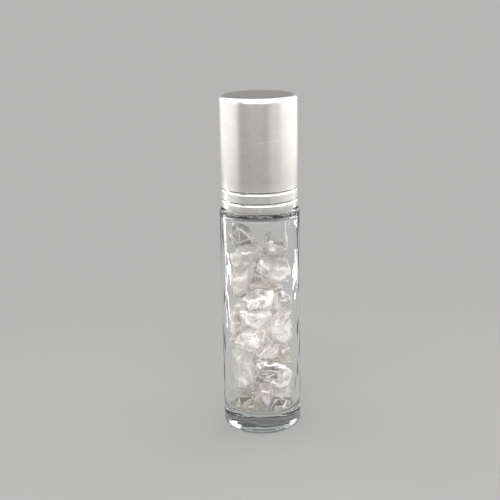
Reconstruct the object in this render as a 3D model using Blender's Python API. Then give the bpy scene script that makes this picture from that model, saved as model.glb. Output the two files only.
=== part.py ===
"""Roll-on bottle: thick clear glass filled with loose quartz chips, a steel ball in a pressed-in roller
housing, and a satin aluminium screw cap lined with a threaded inner cap and a seal disc.

Metres, +Z up. The origin is the middle of the base, on the surface that the bottle stands on."""

import math
import random

import bmesh
import bpy
from mathutils import Matrix, Vector

# Driving dimensions, in metres. Radii are measured from the Z axis.

# Room left between two pieces that touch or nearly touch on the real object
SEAT_GAP = 0.0003

# Glass bottle
GLASS_RADIUS = 0.0100
GLASS_WALL = 0.00155
GLASS_HEIGHT = 0.0582  # from the base to the shoulder's flat top
FLOOR_THICKNESS = 0.0044
FLOOR_ROUNDING = 0.0022
HEEL_ROUNDING = 0.0020
PUSH_UP_RADIUS = 0.0055
PUSH_UP_DEPTH = 0.0005
SHOULDER_ROUNDING = 0.0010
SHOULDER_THICKNESS = 0.0013
SHOULDER_INSIDE_ROUNDING = 0.0013
SHOULDER_WIDTH = 0.0030  # from the glass's side in to the neck
NECK_WALL = 0.0019
NECK_HEIGHT = 0.0108  # from the shoulder to the lip
LIP_ROUNDING = 0.0006

# Screw thread, shared by the neck and the inner cap
THREAD_LEAD = 0.0030
THREAD_TURNS = 1.5
THREAD_DEPTH = 0.0006
THREAD_ROOT_WIDTH = 0.0014
THREAD_CREST_WIDTH = 0.0007
THREAD_START = 0.0022  # middle of the neck's ridge at its lower end, above the shoulder
THREAD_SINK = 0.0003  # how deep a ridge is rooted in its wall
THREAD_RUN_OUT = math.radians(36)

# Roller ball and its housing
BALL_SETBACK = 0.0002  # how much smaller than the neck's bore the ball is
SOCKET_WALL = 0.0010
SOCKET_LIP_HEIGHT = 0.0021  # how far the socket reaches above the middle of the ball
SOCKET_LIP_WALL = 0.0009
FEED_HOLE_RADIUS = 0.0026
FLANGE_SETBACK = 0.0003  # how far the flange stays inside the neck's outside
FLANGE_THICKNESS = 0.0009
PLUG_DEPTH = 0.0045
PLUG_WALL = 0.0008
PLUG_BEAD = 0.00025  # how far each sealing bead stands out of the plug
PLUG_BEADS = 2

# Inner cap and seal disc
INNER_CAP_WALL = 0.00085
RIM_CHAMFER = 0.0005  # keeps the inner cap's rim clear of the rounding inside the aluminium
CEILING_THICKNESS = 0.0010
CAP_WAIST_ROOM = 0.0010  # between the housing and the inner cap above the thread
DISC_SETBACK = 0.0006  # how much smaller than the inner cap's waist the disc is
DISC_THICKNESS = 0.0012
DISC_BEAD = 0.0006  # how far the bead that holds the disc reaches in
DISC_BEAD_HEIGHT = 0.0005
STIFFENING_RIBS = 6
RIB_THICKNESS = 0.0007
RIB_SETBACK = 0.0007  # how far the ribs stay below the inner cap's rim
RIB_INNER_END = 0.0020

# Aluminium cap
CAP_LENGTH = 0.0275
CAP_WALL = 0.0005
CAP_TOP_ROUNDING = 0.0013
CAP_TOP_INSIDE_ROUNDING = 0.0008
CAP_FOOT_CHAMFER = 0.00015
GROOVE_WIDTH = 0.00085
GROOVE_DEPTH = 0.00022
GROOVE_HEIGHTS = (0.0019, 0.0046)  # middle of each groove above the cap's foot

# Quartz chips
CHIP_HEADROOM = 0.0020  # from the highest chip to the glass above it
CHIP_GAP = 0.0003
CHIP_MERGE = 0.00025
CHIP_FLATS = 7
CHIP_FLAT_DEPTHS = (0.70, 0.94)  # least and most, as shares of the way from its middle to its surface
CHIP_FACE_INSETS = (0.42, 0.78)  # size of a front chip's broken faces, as shares of its outline
CHIP_FACE_DEPTHS = (0.70, 1.00)
CHIP_EDGE_WANDER = 0.25  # how far corners lie before or behind the middle, as a share of the depth

# The chips that show from the front: place towards the back, half the depth, then the outline's corners
# as (across, up from the floor), clockwise from the left. The layout is in millimetres. It is stretched so
# that its widest corner reaches the glass, where it is cut back, and its highest leaves the headroom.
FRONT_CHIPS = (
    (
        -0.6,
        3.0,
        ((-8.0, 47.5), (-6.0, 50.5), (-5.0, 50.3), (-2.5, 48.5), (-1.0, 46.0), (-1.5, 43.6), (-6.6, 43.2)),
    ),
    (
        0.6,
        3.8,
        ((-0.6, 44.2), (1.8, 47.2), (5.6, 45.6), (7.4, 43.2), (7.2, 40.8), (4.0, 39.8), (0.4, 41.0)),
    ),
    (
        -3.2,
        3.4,
        ((-7.6, 42.6), (-5.0, 44.6), (-2.0, 45.2), (0.6, 44.4), (-0.8, 41.0), (-3.4, 39.2), (-6.8, 38.9)),
    ),
    (
        -3.2,
        3.5,
        ((-1.4, 38.6), (-1.0, 41.6), (6.6, 42.0), (7.4, 38.4), (7.2, 36.2), (5.8, 34.6), (2.4, 34.6)),
    ),
    (
        -2.2,
        3.8,
        ((-7.8, 35.6), (-6.8, 39.4), (-0.6, 40.4), (-1.4, 37.6), (-3.4, 32.0), (-5.2, 29.6), (-7.4, 31.6)),
    ),
    (
        1.4,
        3.8,
        ((-3.8, 32.6), (-3.2, 33.8), (6.6, 33.6), (6.8, 31.8), (1.5, 30.6)),
    ),
    (
        -3.2,
        3.7,
        ((-5.6, 29.6), (-4.6, 33.4), (3.4, 33.6), (3.8, 30.0), (2.8, 26.6), (-4.4, 26.4)),
    ),
    (
        -2.2,
        2.4,
        ((3.8, 30.4), (4.0, 32.2), (5.6, 32.8), (7.6, 31.0), (7.6, 28.6), (5.6, 27.4), (4.1, 28.4)),
    ),
    (
        -3.4,
        3.6,
        ((-5.6, 27.8), (-4.0, 28.4), (3.0, 28.2), (2.6, 25.8), (-1.0, 21.8), (-4.4, 24.4)),
    ),
    (
        -2.4,
        3.8,
        ((1.2, 23.6), (3.8, 26.8), (7.4, 28.2), (8.0, 24.5), (7.6, 20.0), (6.4, 16.6), (2.0, 18.8)),
    ),
    (
        -0.8,
        3.8,
        ((-8.45, 24.6), (-7.8, 27.4), (-5.8, 28.4), (-4.6, 24.0), (-5.2, 19.4), (-7.8, 17.6), (-8.45, 20.5)),
    ),
    (
        -3.4,
        3.6,
        ((-6.8, 19.6), (-4.6, 22.0), (1.2, 22.6), (1.8, 18.0), (-1.8, 15.6), (-6.4, 17.6)),
    ),
    (
        -2.4,
        4.0,
        ((-8.0, 13.5), (-7.6, 17.0), (-5.6, 18.0), (-1.6, 15.2), (-0.8, 8.4), (-2.8, 4.6), (-6.8, 4.6)),
    ),
    (
        0.6,
        3.8,
        ((1.8, 12.6), (3.4, 16.8), (7.8, 16.4), (8.0, 12.0), (5.2, 11.2)),
    ),
    (
        -3.2,
        3.8,
        ((-2.0, 11.0), (-1.4, 13.6), (1.6, 14.0), (5.8, 13.2),
         (7.8, 10.8), (7.4, 7.0), (4.6, 5.2), (-0.6, 8.2)),
    ),
    (
        -2.0,
        3.2,
        ((-1.4, 7.8), (2.4, 7.6), (2.9, 4.0), (2.3, 1.4), (1.4, 0.2), (-0.6, 2.6)),
    ),
    (
        0.4,
        3.8,
        ((2.2, 5.4), (7.0, 5.8), (7.8, 3.4), (6.6, 1.8), (2.6, 1.8)),
    ),
    (
        -2.8,
        4.2,
        ((-7.0, 2.2), (-6.2, 4.2), (-1.0, 4.2), (1.4, 0.2), (-4.5, 0.0), (-6.8, 0.4)),
    ),
    (
        -2.6,
        4.2,
        ((1.6, 1.0), (2.6, 3.2), (6.4, 3.4), (7.6, 1.4), (5.6, 0.0), (2.0, 0.0)),
    ),
    (
        1.8,
        3.4,
        ((-7.4, 5.0), (-5.8, 8.6), (-2.2, 8.0), (-1.4, 3.6), (-6.8, 3.2)),
    ),
    (
        -1.4,
        3.6,
        ((-2.0, 14.8), (-1.4, 17.2), (1.6, 20.0), (4.6, 19.0), (4.6, 15.4), (2.6, 13.4)),
    ),
)

# The chips behind them, in the same layout: place across, place towards the back and height above the floor,
# then half the width, half the depth and half the height, and the lean in degrees, clockwise from the front.
BACK_CHIPS = (
    (-2.4, 4.2, 2.2, 4.6, 3.8, 2.8, -6),
    (3.4, 4.4, 2.4, 4.2, 3.8, 3.0, 8),
    (-1.0, 3.8, 8.4, 4.4, 3.9, 3.8, 6),
    (4.0, 4.6, 9.2, 4.0, 3.4, 3.8, -10),
    (-3.4, 4.0, 15.6, 4.4, 3.9, 4.6, -8),
    (2.0, 3.9, 19.6, 4.6, 4.0, 4.8, 12),
    (-3.4, 4.2, 24.4, 4.4, 3.9, 4.6, 6),
    (3.2, 4.0, 27.6, 4.4, 3.9, 4.4, -8),
    (-3.0, 3.8, 32.4, 4.4, 4.0, 4.4, 10),
    (3.4, 4.2, 37.0, 4.4, 3.9, 4.2, -6),
    (-2.6, 4.2, 40.0, 4.4, 3.7, 4.2, 4),
)

# Fineness of the model
TURN_STEPS = 40
BALL_STEPS = 24
ROUNDING_STEPS = 4
CHIP_SUBDIVISIONS = 2
CHIP_CUT_DIRECTIONS = 24
CHIP_CUT_TILTS = 4
SHARP_ANGLE = math.radians(32)
CHIP_SHARP_ANGLE = math.radians(18)

# Sizes that follow from the driving ones
INSIDE_RADIUS = GLASS_RADIUS - GLASS_WALL
CEILING_HEIGHT = GLASS_HEIGHT - SHOULDER_THICKNESS
LIP_HEIGHT = GLASS_HEIGHT + NECK_HEIGHT
NECK_RADIUS = GLASS_RADIUS - SHOULDER_WIDTH
NECK_BORE_RADIUS = NECK_RADIUS - NECK_WALL
NECK_CREST_RADIUS = NECK_RADIUS + THREAD_DEPTH
CAP_BORE_RADIUS = NECK_CREST_RADIUS + SEAT_GAP
CAP_CREST_RADIUS = NECK_RADIUS + SEAT_GAP
INNER_CAP_RADIUS = CAP_BORE_RADIUS + INNER_CAP_WALL
CAP_INSIDE_RADIUS = INNER_CAP_RADIUS + SEAT_GAP
CAP_RADIUS = CAP_INSIDE_RADIUS + CAP_WALL
CAP_FOOT = GLASS_HEIGHT + SEAT_GAP
CAP_TOP = CAP_FOOT + CAP_LENGTH
CAP_UNDERSIDE = CAP_TOP - CAP_WALL
BALL_RADIUS = NECK_BORE_RADIUS - BALL_SETBACK
SOCKET_RADIUS = BALL_RADIUS + SEAT_GAP
FLANGE_RADIUS = NECK_RADIUS - FLANGE_SETBACK
FLANGE_HEIGHT = LIP_HEIGHT + SEAT_GAP
PLUG_RADIUS = NECK_BORE_RADIUS - SEAT_GAP - PLUG_BEAD
# The ball rests as low as the socket's wall inside the plug lets it.
BALL_HEIGHT = LIP_HEIGHT + math.sqrt(SOCKET_RADIUS**2 - (PLUG_RADIUS - SOCKET_WALL) ** 2)
HOUSING_WAIST_RADIUS = SOCKET_RADIUS + SOCKET_WALL
CAP_WAIST_RADIUS = HOUSING_WAIST_RADIUS + CAP_WAIST_ROOM
DISC_RADIUS = CAP_WAIST_RADIUS - DISC_SETBACK
DISC_POCKET_RADIUS = DISC_RADIUS + SEAT_GAP
DISC_HEIGHT = BALL_HEIGHT + BALL_RADIUS + SEAT_GAP
INNER_CEILING = DISC_HEIGHT + DISC_THICKNESS + SEAT_GAP
INNER_CAP_TOP = CAP_UNDERSIDE - SEAT_GAP
CHIP_LAYOUT_WIDEST = max(abs(across) for _, _, outline in FRONT_CHIPS for across, _ in outline)
CHIP_LAYOUT_HIGHEST = max(up for _, _, outline in FRONT_CHIPS for _, up in outline)


def clear_scene():
    for thing in list(bpy.data.objects):
        bpy.data.objects.remove(thing)


def finish(name, colour, roughness, metallic=0.0, transmission=0.0, ior=1.5):
    """A material with the finish of one of the bottle's pieces."""
    material = bpy.data.materials.new(name)
    material.use_nodes = True
    shader = material.node_tree.nodes["Principled BSDF"]
    shader.inputs["Base Color"].default_value = (*colour, 1.0)
    shader.inputs["Roughness"].default_value = roughness
    shader.inputs["Metallic"].default_value = metallic
    shader.inputs["Transmission Weight"].default_value = transmission
    shader.inputs["IOR"].default_value = ior
    material.diffuse_color = (*colour, 1.0)
    return material


def rounding(centre, radius, start, end, steps=ROUNDING_STEPS):
    """Points of an arc in the (radius, height) plane, both ends included. Angles are in degrees."""
    angles = [math.radians(start + (end - start) * step / steps) for step in range(steps + 1)]
    return [(centre[0] + radius * math.cos(a), centre[1] + radius * math.sin(a)) for a in angles]


def shade(mesh, angle):
    mesh.shade_smooth()
    mesh.set_sharp_from_angle(angle=angle)


def add_object(name, shape, material, sharp_angle=SHARP_ANGLE):
    """Makes an object of a bmesh, with its faces pointing out."""
    bmesh.ops.recalc_face_normals(shape, faces=shape.faces)
    mesh = bpy.data.meshes.new(name)
    shape.to_mesh(mesh)
    shape.free()
    shade(mesh, sharp_angle)
    thing = bpy.data.objects.new(name, mesh)
    if material:
        mesh.materials.append(material)
    bpy.context.scene.collection.objects.link(thing)
    return thing


def turned(name, outline, material):
    """Turns a closed outline of (radius, height) points round the Z axis."""
    shape = bmesh.new()
    rings = []
    for radius, height in outline:
        if radius == 0:
            rings.append([shape.verts.new((0, 0, height))] * TURN_STEPS)
            continue
        angles = [2 * math.pi * step / TURN_STEPS for step in range(TURN_STEPS)]
        rings.append([shape.verts.new((radius * math.cos(a), radius * math.sin(a), height)) for a in angles])
    for ring, following in zip(rings, rings[1:] + rings[:1]):
        for step in range(TURN_STEPS):
            beside = (step + 1) % TURN_STEPS
            corners = [ring[step], ring[beside], following[beside], following[step]]
            corners = list(dict.fromkeys(corners))
            if len(corners) > 2:
                shape.faces.new(corners)
    return add_object(name, shape, material)


def merged_into(target, tool):
    """Joins a helper's shape to a piece with a Boolean, and hides the helper."""
    joint = target.modifiers.new(tool.name, "BOOLEAN")
    joint.operation = "UNION"
    joint.solver = "EXACT"
    joint.object = tool
    tool.hide_render = True
    tool.display_type = "WIRE"


def thread_ridge(name, wall, crest, start_height):
    """A screw thread's ridge on a wall of the given radius. It rises out of the wall at both ends."""
    root = wall - math.copysign(THREAD_SINK, crest - wall)
    steps = round(THREAD_TURNS * TURN_STEPS)
    run_out = THREAD_RUN_OUT / (2 * math.pi) * TURN_STEPS
    least = THREAD_SINK / 2 / abs(crest - root)
    shape = bmesh.new()
    sections = []
    for step in range(steps + 1):
        angle = 2 * math.pi * step / TURN_STEPS
        height = start_height + THREAD_LEAD * step / TURN_STEPS
        rise = max(least, min(1.0, step / run_out, (steps - step) / run_out))
        tip = root + (crest - root) * rise
        root_half, crest_half = THREAD_ROOT_WIDTH / 2, THREAD_CREST_WIDTH / 2
        corners = ((root, -root_half), (tip, -crest_half), (tip, crest_half), (root, root_half))
        sections.append(
            [shape.verts.new((r * math.cos(angle), r * math.sin(angle), height + z)) for r, z in corners]
        )
    shape.faces.new(sections[0])
    shape.faces.new(sections[-1])
    for section, following in zip(sections, sections[1:]):
        for side in range(len(section)):
            beside = (side + 1) % len(section)
            shape.faces.new((section[side], section[beside], following[beside], following[side]))
    bmesh.ops.triangulate(shape, faces=shape.faces)
    return add_object(name, shape, None)


def glass_bottle(material):
    """The bottle: heavy floor with a slight push-up, plain wall, square shoulder and threaded neck."""
    heel = (GLASS_RADIUS - HEEL_ROUNDING, HEEL_ROUNDING)
    shoulder = (GLASS_RADIUS - SHOULDER_ROUNDING, GLASS_HEIGHT - SHOULDER_ROUNDING)
    floor_corner = (INSIDE_RADIUS - FLOOR_ROUNDING, FLOOR_THICKNESS + FLOOR_ROUNDING)
    ceiling_corner = (INSIDE_RADIUS - SHOULDER_INSIDE_ROUNDING, CEILING_HEIGHT - SHOULDER_INSIDE_ROUNDING)
    throat = SHOULDER_INSIDE_ROUNDING / 2
    neck_corner = (NECK_BORE_RADIUS + throat, CEILING_HEIGHT + throat)
    lip_outside = (NECK_RADIUS - LIP_ROUNDING, LIP_HEIGHT - LIP_ROUNDING)
    lip_inside = (NECK_BORE_RADIUS + LIP_ROUNDING, LIP_HEIGHT - LIP_ROUNDING)
    outline = [(0, PUSH_UP_DEPTH), (PUSH_UP_RADIUS - PUSH_UP_DEPTH * 2, PUSH_UP_DEPTH), (PUSH_UP_RADIUS, 0)]
    outline += rounding(heel, HEEL_ROUNDING, -90, 0)
    outline += rounding(shoulder, SHOULDER_ROUNDING, 0, 90)
    outline += [(NECK_RADIUS, GLASS_HEIGHT)]
    outline += rounding(lip_outside, LIP_ROUNDING, 0, 90)
    outline += rounding(lip_inside, LIP_ROUNDING, 90, 180)
    outline += rounding(neck_corner, throat, 180, 270)
    outline += rounding(ceiling_corner, SHOULDER_INSIDE_ROUNDING, 90, 0)
    outline += rounding(floor_corner, FLOOR_ROUNDING, 0, -90)
    outline += [(0, FLOOR_THICKNESS)]
    bottle = turned("glass_bottle", outline, material)
    ridge = thread_ridge("neck_thread", NECK_RADIUS, NECK_CREST_RADIUS, GLASS_HEIGHT + THREAD_START)
    merged_into(bottle, ridge)
    return bottle


def sphere_radius_at(radius, height):
    """Radius of a sphere's section at a height above its middle."""
    return math.sqrt(radius * radius - height * height)


def roller_housing(material):
    """The housing: a plug with sealing beads, a flange on the lip, and the socket that holds the ball."""
    plug_foot = FLANGE_HEIGHT - PLUG_DEPTH
    bead_pitch = PLUG_DEPTH / (PLUG_BEADS + 1)
    outline = [(PLUG_RADIUS - PLUG_WALL, plug_foot), (PLUG_RADIUS - PLUG_BEAD, plug_foot)]
    for bead in range(PLUG_BEADS):
        height = plug_foot + bead_pitch * (bead + 1)
        outline += [(PLUG_RADIUS, height - PLUG_BEAD), (PLUG_RADIUS + PLUG_BEAD, height)]
        outline += [(PLUG_RADIUS, height + PLUG_BEAD)]
    flange_top = FLANGE_HEIGHT + FLANGE_THICKNESS
    socket_top = BALL_HEIGHT + SOCKET_LIP_HEIGHT
    mouth = sphere_radius_at(SOCKET_RADIUS, SOCKET_LIP_HEIGHT)
    outline += [(PLUG_RADIUS, FLANGE_HEIGHT), (FLANGE_RADIUS, FLANGE_HEIGHT), (FLANGE_RADIUS, flange_top)]
    outline += [(HOUSING_WAIST_RADIUS, flange_top), (HOUSING_WAIST_RADIUS, BALL_HEIGHT)]
    outline += [(mouth + SOCKET_LIP_WALL, socket_top)]
    lip_angle = math.degrees(math.asin(SOCKET_LIP_HEIGHT / SOCKET_RADIUS))
    feed_angle = -math.degrees(math.acos(FEED_HOLE_RADIUS / SOCKET_RADIUS))
    outline += rounding((0, BALL_HEIGHT), SOCKET_RADIUS, lip_angle, feed_angle, steps=2 * ROUNDING_STEPS)
    seat_height = BALL_HEIGHT + SOCKET_RADIUS * math.sin(math.radians(feed_angle))
    outline += [(FEED_HOLE_RADIUS, seat_height - PLUG_WALL)]
    outline += [(PLUG_RADIUS - PLUG_WALL, seat_height - PLUG_WALL)]
    return turned("roller_housing", outline, material)


def roller_ball(material):
    """The ball, with its origin in its middle, where it turns."""
    shape = bmesh.new()
    bmesh.ops.create_uvsphere(shape, u_segments=BALL_STEPS, v_segments=BALL_STEPS // 2, radius=BALL_RADIUS)
    ball = add_object("roller_ball", shape, material)
    ball.location = (0, 0, BALL_HEIGHT)
    return ball


def seal_disc(material):
    """The soft disc under the inner cap's ceiling, which presses on the ball."""
    top = DISC_HEIGHT + DISC_THICKNESS
    outline = [(0, DISC_HEIGHT), (DISC_RADIUS, DISC_HEIGHT), (DISC_RADIUS, top), (0, top)]
    return turned("seal_disc", outline, material)


def stiffening_ribs():
    """Upright ribs between the inner cap's ceiling and its wall, as one helper shape."""
    shape = bmesh.new()
    outer_end = INNER_CAP_RADIUS - INNER_CAP_WALL + THREAD_SINK
    foot = INNER_CEILING + CEILING_THICKNESS / 2
    length = outer_end - RIB_INNER_END
    height = INNER_CAP_TOP - RIB_SETBACK - foot
    middle = Vector((RIB_INNER_END + length / 2, 0, foot + height / 2))
    for rib in range(STIFFENING_RIBS):
        spin = Matrix.Rotation(2 * math.pi * (rib + 0.5) / STIFFENING_RIBS, 4, "Z")
        size = Matrix.Diagonal((length, RIB_THICKNESS, height, 1))
        bmesh.ops.create_cube(shape, size=1.0, matrix=spin @ Matrix.Translation(middle) @ size)
    return add_object("cap_ribs", shape, None)


def inner_cap(material):
    """The moulded liner: threaded skirt, pocket for the seal disc, ceiling, and a rim up to the cap's top."""
    foot = CAP_FOOT + SEAT_GAP
    waist_start = FLANGE_HEIGHT + FLANGE_THICKNESS + SEAT_GAP
    bead_foot = DISC_HEIGHT - SEAT_GAP - DISC_BEAD_HEIGHT
    bead_radius = DISC_POCKET_RADIUS - DISC_BEAD
    ceiling_top = INNER_CEILING + CEILING_THICKNESS
    outline = [(CAP_BORE_RADIUS + THREAD_SINK, foot), (INNER_CAP_RADIUS, foot)]
    outline += [(INNER_CAP_RADIUS, INNER_CAP_TOP - RIM_CHAMFER)]
    outline += [(INNER_CAP_RADIUS - RIM_CHAMFER, INNER_CAP_TOP), (CAP_BORE_RADIUS, INNER_CAP_TOP)]
    outline += [(CAP_BORE_RADIUS, ceiling_top), (0, ceiling_top), (0, INNER_CEILING)]
    outline += [(DISC_POCKET_RADIUS, INNER_CEILING), (DISC_POCKET_RADIUS, DISC_HEIGHT - SEAT_GAP)]
    outline += [(bead_radius, bead_foot + DISC_BEAD_HEIGHT / 2), (bead_radius, bead_foot)]
    outline += [(CAP_WAIST_RADIUS, bead_foot - DISC_BEAD), (CAP_WAIST_RADIUS, waist_start + THREAD_DEPTH)]
    outline += [(CAP_BORE_RADIUS, waist_start), (CAP_BORE_RADIUS, foot + THREAD_SINK)]
    cap = turned("inner_cap", outline, material)
    ridge_start = GLASS_HEIGHT + THREAD_START + THREAD_LEAD / 2
    merged_into(cap, thread_ridge("cap_thread", CAP_BORE_RADIUS, CAP_CREST_RADIUS, ridge_start))
    merged_into(cap, stiffening_ribs())
    return cap


def groove(height):
    """Outline of one bright-cut groove: a shallow arc turned into the cap's side, from low to high."""
    half = GROOVE_WIDTH / 2
    reach = (half * half + GROOVE_DEPTH * GROOVE_DEPTH) / (2 * GROOVE_DEPTH)
    spread = math.degrees(math.asin(half / reach))
    centre = (CAP_RADIUS + reach - GROOVE_DEPTH, CAP_FOOT + height)
    return rounding(centre, reach, 180 + spread, 180 - spread)


def cap_shell(material):
    """The drawn aluminium cap, with two bright-cut grooves near its foot."""
    top_corner = (CAP_RADIUS - CAP_TOP_ROUNDING, CAP_TOP - CAP_TOP_ROUNDING)
    inside_corner = (CAP_INSIDE_RADIUS - CAP_TOP_INSIDE_ROUNDING, CAP_UNDERSIDE - CAP_TOP_INSIDE_ROUNDING)
    outline = [(CAP_INSIDE_RADIUS, CAP_FOOT), (CAP_RADIUS - CAP_FOOT_CHAMFER, CAP_FOOT)]
    outline += [(CAP_RADIUS, CAP_FOOT + CAP_FOOT_CHAMFER)]
    for height in GROOVE_HEIGHTS:
        outline += groove(height)
    outline += rounding(top_corner, CAP_TOP_ROUNDING, 0, 90)
    outline += [(0, CAP_TOP), (0, CAP_UNDERSIDE)]
    outline += rounding(inside_corner, CAP_TOP_INSIDE_ROUNDING, 90, 0)
    return turned("cap_shell", outline, material)


def cut_away(shape, point, facing):
    """Cuts off what lies beyond a plane. The hull that is made at the end closes the cut."""
    if any((vert.co - point).dot(facing) > 0 for vert in shape.verts):
        geometry = [*shape.verts, *shape.edges, *shape.faces]
        bmesh.ops.bisect_plane(
            shape, geom=geometry, dist=1e-7, plane_co=point, plane_no=facing, clear_outer=True
        )


class Chip:
    """A chip before it is cut: its number, its middle, its spread and the corners of its shape.

    The spread is the matrix of the ellipsoid that fills about the same space."""

    def __init__(self, number, middle, spread, corners):
        self.number = number
        self.middle = middle
        self.spread = spread
        self.corners = corners

    def reach(self, facing):
        """How far the ellipsoid goes from its middle in a direction."""
        return math.sqrt(facing.dot(self.spread @ facing))

    def plane_towards(self, other):
        """The point and direction of the plane that parts this chip from another."""
        apart = other.middle - self.middle
        facing = ((self.spread + other.spread).inverted() @ apart).normalized()
        share = self.reach(facing) / (self.reach(facing) + other.reach(facing))
        return self.middle + facing * (apart.dot(facing) * share - CHIP_GAP / 2), facing


def in_bottle(across, back, up):
    """A place given in the layout's millimetres, as a place in the bottle."""
    spread = INSIDE_RADIUS / CHIP_LAYOUT_WIDEST
    rise = (CEILING_HEIGHT - CHIP_HEADROOM - FLOOR_THICKNESS) / CHIP_LAYOUT_HIGHEST
    return Vector((across * spread, back * spread, up * rise + FLOOR_THICKNESS))


def front_chip(number, back, half_depth, outline):
    """A flake with the given outline, broken faces before and behind it, and bevelled edges between."""
    rng = random.Random(number)
    rim = [in_bottle(across, back, up) for across, up in outline]
    middle = sum(rim, Vector()) / len(rim)
    depth = (in_bottle(0, half_depth, 0) - in_bottle(0, 0, 0)).y
    corners = []
    for corner in rim:
        corners.append(corner + Vector((0, rng.uniform(-1, 1) * CHIP_EDGE_WANDER * depth, 0)))
        for side in (-1, 1):
            inset = (corner - middle) * rng.uniform(*CHIP_FACE_INSETS)
            corners.append(middle + inset + Vector((0, side * depth * rng.uniform(*CHIP_FACE_DEPTHS), 0)))
    spread = Matrix(((0, 0, 0), (0, depth * depth, 0), (0, 0, 0)))
    for corner in rim:
        out = corner - middle
        for row in (0, 2):
            for column in (0, 2):
                spread[row][column] += 2 * out[row] * out[column] / len(rim)
    return Chip(number, middle, spread, corners)


def back_chip(number, across, back, up, half_width, half_depth, half_height, lean):
    """A pebble with seeded flats broken off it."""
    rng = random.Random(number)
    shape = bmesh.new()
    bmesh.ops.create_icosphere(shape, subdivisions=CHIP_SUBDIVISIONS, radius=1.0)
    for _ in range(CHIP_FLATS):
        facing = Vector([rng.gauss(0, 1) for _ in range(3)]).normalized()
        cut_away(shape, facing * rng.uniform(*CHIP_FLAT_DEPTHS), facing)
    middle = in_bottle(across, back, up)
    halves = in_bottle(half_width, half_depth, half_height) - in_bottle(0, 0, 0)
    turn = Matrix.Rotation(math.radians(lean), 3, "Y")
    corners = [middle + turn @ (vert.co * halves) for vert in shape.verts]
    shape.free()
    squares = Matrix.Diagonal([half * half for half in halves])
    return Chip(number, middle, turn @ squares @ turn.transposed(), corners)


def glass_planes():
    """Planes just inside the bottle's wall, its floor, its ceiling and their roundings."""
    flat_side = math.cos(math.pi / TURN_STEPS)
    corner_flat = math.cos(math.pi / CHIP_CUT_DIRECTIONS)
    for sign, height, radius in (
        (-1, FLOOR_THICKNESS, FLOOR_ROUNDING),
        (1, CEILING_HEIGHT, SHOULDER_INSIDE_ROUNDING),
    ):
        for tilt in range(CHIP_CUT_TILTS + 1):
            angle = math.pi / 2 * tilt / CHIP_CUT_TILTS
            out = (INSIDE_RADIUS * flat_side - SEAT_GAP) * corner_flat - radius * (1 - math.cos(angle))
            up = height - sign * (SEAT_GAP + radius * (1 - math.sin(angle)))
            for direction in range(CHIP_CUT_DIRECTIONS):
                bearing = 2 * math.pi * direction / CHIP_CUT_DIRECTIONS
                side = Vector((math.cos(bearing), math.sin(bearing), 0))
                facing = side * math.cos(angle) + Vector((0, 0, sign * math.sin(angle)))
                yield side * out + Vector((0, 0, up)), facing


def convex_hull(corners):
    """The hull of some points as a bmesh, with points that nearly meet made one."""
    hull = bmesh.new()
    for corner in corners:
        hull.verts.new(corner)
    bmesh.ops.remove_doubles(hull, verts=hull.verts, dist=CHIP_MERGE)
    bmesh.ops.convex_hull(hull, input=hull.verts)
    inside = [vert for vert in hull.verts if not vert.link_faces]
    bmesh.ops.delete(hull, geom=inside, context="VERTS")
    return hull


def quartz_chip(chip, chips, walls, material):
    """Cuts a chip back from its neighbours and from the glass, and makes its object."""
    shape = convex_hull(chip.corners)
    for other in chips:
        if other is not chip:
            cut_away(shape, *chip.plane_towards(other))
    for point, facing in walls:
        cut_away(shape, point, facing)
    hull = convex_hull([vert.co - chip.middle for vert in shape.verts])
    shape.free()
    thing = add_object(f"quartz_chip_{chip.number:02d}", hull, material, CHIP_SHARP_ANGLE)
    thing.location = chip.middle
    return thing


def parented_to(name, place, children):
    """An empty on a moving piece's axis, with the piece's objects under it."""
    empty = bpy.data.objects.new(name, None)
    empty.location = place
    empty.empty_display_size = GLASS_RADIUS
    bpy.context.scene.collection.objects.link(empty)
    bpy.context.view_layer.update()
    for child in children:
        child.parent = empty
        child.matrix_parent_inverse = empty.matrix_world.inverted()
    return empty


def build():
    clear_scene()
    glass = finish("clear_glass", (0.93, 0.96, 0.95), 0.02, transmission=1.0, ior=1.52)
    aluminium = finish("satin_aluminium", (0.72, 0.71, 0.69), 0.32, metallic=1.0)
    steel = finish("polished_steel", (0.78, 0.78, 0.78), 0.08, metallic=1.0)
    natural = finish("natural_plastic", (0.86, 0.87, 0.86), 0.35)
    white = finish("white_plastic", (0.88, 0.88, 0.87), 0.40)
    foam = finish("white_foam", (0.90, 0.90, 0.88), 0.80)
    quartz = finish("clear_quartz", (0.95, 0.94, 0.93), 0.10, transmission=0.9, ior=1.54)

    glass_bottle(glass)
    roller_housing(natural)
    parented_to("ball_centre", (0, 0, BALL_HEIGHT), [roller_ball(steel)])
    parented_to("disc_axis", (0, 0, DISC_HEIGHT), [seal_disc(foam)])
    parented_to("cap_axis", (0, 0, CAP_FOOT), [cap_shell(aluminium), inner_cap(white)])
    chips = [front_chip(number, *row) for number, row in enumerate(FRONT_CHIPS, start=1)]
    chips += [back_chip(number, *row) for number, row in enumerate(BACK_CHIPS, start=len(chips) + 1)]
    walls = list(glass_planes())
    for chip in chips:
        quartz_chip(chip, chips, walls, quartz)


build()
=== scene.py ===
# %% [markdown]
# # A roll-on bottle of quartz chips
# This notebook dresses a imported CAD model: a thick glass bottle, slim as a finger, full of clear quartz chips,
# with a steel ball under a satin aluminium screw cap. The CAD model gives every size and every moving body.
# Each step here makes one piece or one finish, so that the result looks like the real object from any side.
#
# The frame is loaded first. It holds the CAD nodes in metres, with the base at height zero and +Z up.
# Its box is kept, to print beside the box of the finished model at the end.

# %% Load the CAD frame
import functools
import math

import bmesh
import bpy
from mathutils import Matrix, Vector


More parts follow.
